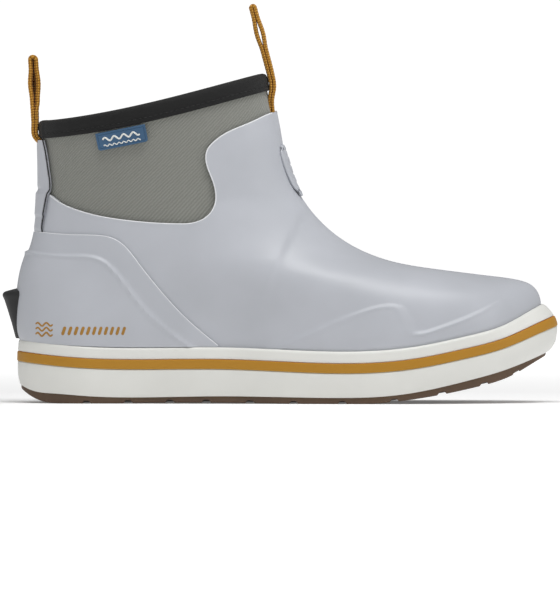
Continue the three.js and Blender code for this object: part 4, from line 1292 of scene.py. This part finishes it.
def knit(name, dark, light, across_scale, along_scale, depth, roughness=0.9, sheen=0.3):
    made = Finish(name, roughness, sheen=sheen)
    rows = made.wave(made.surface(), "X", across_scale, 1.2, 2.0)
    cross = made.wave(made.surface(), "Y", along_scale, 1.2, 2.0)
    weave = made.math("MULTIPLY", rows.outputs["Fac"], cross.outputs["Fac"])
    # The colour follows the weave's height: darker in its hollows, which is painted shade, and lighter on the
    # raised yarns.
    made.colour(made.ramp(weave, [(0.0, colour_of(*dark)), (0.8, colour_of(*light))]))
    made.bump(weave, depth, 0.8)
    made.bump(made.noise(3000, 2), 0.05, 0.5)
    return made


thread = rubber("black thread", (0.0015, 0.0015, 0.0015), (0.003, 0.003, 0.003), 0.6)
tape = knit("black knit tape", (0.007, 0.007, 0.007), (0.012, 0.012, 0.012), 9.0, 40.0, 0.05, 0.7, 0.05)
tape.shader.inputs["Specular IOR Level"].default_value = 0.25
charcoal.shader.inputs["Specular IOR Level"].default_value = 0.3
sock = knit("grey lining knit", (0.03, 0.032, 0.035), (0.055, 0.058, 0.062), 3.0, 3.0, 0.15)

braid = Finish("gold braided webbing", 0.8, sheen=0.05)
braid.shader.inputs["Specular IOR Level"].default_value = 0.25
picks = braid.wave(braid.surface(), "X", 2.2, 0.6, 1.0)
warps = braid.wave(braid.surface(), "Y", 2.6, 0.4, 1.0)
crossing = braid.math("MULTIPLY", picks.outputs["Fac"], warps.outputs["Fac"])
# The colour follows the weave's height: darker in its hollows, which is painted shade, and lighter on the
# raised crossings.
braid.colour(braid.ramp(crossing, [
    (0.0, colour_of(0.24, 0.1, 0.009)),
    (0.3, colour_of(0.52, 0.25, 0.025)),
    (0.9, colour_of(0.72, 0.4, 0.075)),
]))
braid.bump(crossing, 0.35, 0.9)

foam_finish = Finish("grey foam", 0.9)
foam_finish.colour(foam_finish.ramp(foam_finish.noise(700, 3), [
    (0.3, colour_of(0.05, 0.053, 0.058)), (0.7, colour_of(0.09, 0.094, 0.1)),
]))
foam_finish.bump(foam_finish.noise(1400, 3), 0.15, 0.7)

fibre = Finish("fibre board", 0.9)
fibre.colour(fibre.ramp(fibre.noise(300, 6), [
    (0.3, colour_of(0.2, 0.15, 0.09)), (0.7, colour_of(0.33, 0.26, 0.17)),
]))
fibre.bump(fibre.noise(900, 4), 0.12, 0.7)

# %% [markdown]
# ## Which piece wears which finish
#
# New pieces take their finish by name. Frame parts that still show inside, such as the board
# and the stiffener, get one too.

# %% Dressing the pieces
WEARS = {
    grey: ["vamp_skin", "heel_counter_sheet", "back_strip_sheet", "shin_badge"],
    white: ["foxing_wall", "tag_wave_large", "tag_wave_small"],
    pale: ["window_bead_outer", "window_bead_inner", "counter_bead_outer", "counter_bead_inner"],
    stripe: ["gold_stripe"],
    print_gold: ["heel_print_outer", "heel_print_inner"],
    gum: ["gum_outsole"],
    charcoal: ["kick_off_tab", "back_strip_line_outer", "back_strip_line_inner"],
    navy: ["side_tag_plate"],
    ribbed: ["ankle_sleeve"],
    tape: ["collar_tape"],
    thread: ["collar_stitches"],
    sock: ["lining_sock"],
    braid: ["front_webbing", "rear_webbing"],
    foam_finish: ["footbed_pad"],
}
for finish, names in WEARS.items():
    for name in names:
        worn = bpy.data.objects[name].data.materials
        worn.clear()
        worn.append(finish.material)

NODES_WEAR = {
    "midsole": foam_finish, "lasting_board": fibre, "heel_stiffener": fibre, "toe_guard": charcoal,
    "ankle_pad_outer": charcoal, "ankle_pad_inner": charcoal,
}
for name, finish in NODES_WEAR.items():
    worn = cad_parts[name].data.materials
    worn.clear()
    worn.append(finish.material)
print(len(WEARS), "finishes on", sum(len(names) for names in WEARS.values()), "pieces")

# %% [markdown]
# ## Floor, light and camera
#
# The boot stands on white paper under broad soft lights, and is seen square from its outer side
# with a long lens, so that the shapes keep their true proportions. The paper glows a little more
# with distance, so that no horizon shows behind the boot.

# %% Floor
floor = bmesh.new()
bmesh.ops.create_grid(floor, x_segments=1, y_segments=1, size=40)
ground = smooth_object("floor", floor)
paper = Finish("white paper", 0.9)
paper.colour(paper.ramp(paper.noise(3, 2), [
    (0.0, colour_of(0.9, 0.9, 0.9)),
    (1.0, colour_of(0.93, 0.93, 0.93)),
]))
reach = paper.node("ShaderNodeVectorMath", operation="LENGTH")
paper.link(paper.place, reach.inputs[0])
glow = paper.node("ShaderNodeMapRange")
for socket, value in (("From Min", 0.35), ("From Max", 1.6), ("To Min", 0.12), ("To Max", 0.8)):
    glow.inputs[socket].default_value = value
paper.link(reach.outputs["Value"], glow.inputs["Value"])
paper.shader.inputs["Emission Color"].default_value = (1, 1, 1, 1)
paper.link(glow.outputs["Result"], paper.shader.inputs["Emission Strength"])
ground.data.materials.append(paper.material)

# %% Light
def softbox(name, place, target, size, power):
    light = bpy.data.lights.new(name, "AREA")
    light.shape = "RECTANGLE"
    light.size, light.size_y = size
    light.energy = power
    made = bpy.data.objects.new(name, light)
    bpy.context.scene.collection.objects.link(made)
    made.location = place
    made.rotation_euler = (Vector(target) - Vector(place)).to_track_quat("-Z", "Y").to_euler()


softbox("key overhead", (0.15, -0.45, 1.6), (0, 0, 0.05), (1.2, 0.8), 20)
softbox("front fill", (-0.5, -2.0, 0.6), (0, 0, 0.08), (1.6, 1.0), 1.5)
softbox("toe side", (1.5, -0.5, 0.7), (0, 0, 0.06), (0.8, 0.9), 4)
softbox("heel side", (-1.5, -0.5, 0.6), (0, 0, 0.06), (0.8, 0.9), 1.5)

world = bpy.data.worlds.new("studio air")
bpy.context.scene.world = world
world.use_nodes = True
air = world.node_tree
background = air.nodes["Background"]
background.inputs["Color"].default_value = (1, 1, 1, 1)
background.inputs["Strength"].default_value = 0.3
seen = air.nodes.new("ShaderNodeBackground")
seen.inputs["Color"].default_value = (1, 1, 1, 1)
seen.inputs["Strength"].default_value = 1.05
rays = air.nodes.new("ShaderNodeLightPath")
blend = air.nodes.new("ShaderNodeMixShader")
air.links.new(rays.outputs["Is Camera Ray"], blend.inputs["Fac"])
air.links.new(background.outputs["Background"], blend.inputs[1])
air.links.new(seen.outputs["Background"], blend.inputs[2])
air.links.new(blend.outputs["Shader"], air.nodes["World Output"].inputs["Surface"])
bpy.context.scene.view_settings.view_transform = "Standard"

# %% Camera
camera_data = bpy.data.cameras.new("side view")
camera = bpy.data.objects.new("side view", camera_data)
bpy.context.scene.collection.objects.link(camera)
FRAME_WIDTH = 0.3111
DISTANCE = 6.0
ELEVATION = math.radians(0.6)
aim = Vector((0.0, 0.0, 0.0535))
camera_data.sensor_fit = "HORIZONTAL"
camera_data.sensor_width = 36
camera_data.lens = 36 * DISTANCE / FRAME_WIDTH
camera.location = aim + Vector((0, -math.cos(ELEVATION), math.sin(ELEVATION))) * DISTANCE
camera.rotation_euler = (math.pi / 2 - ELEVATION, 0, 0)
camera_data.clip_start = 0.05
camera_data.clip_end = 30
bpy.context.scene.camera = camera
print("camera sees %.0f mm across" % (FRAME_WIDTH / MM))
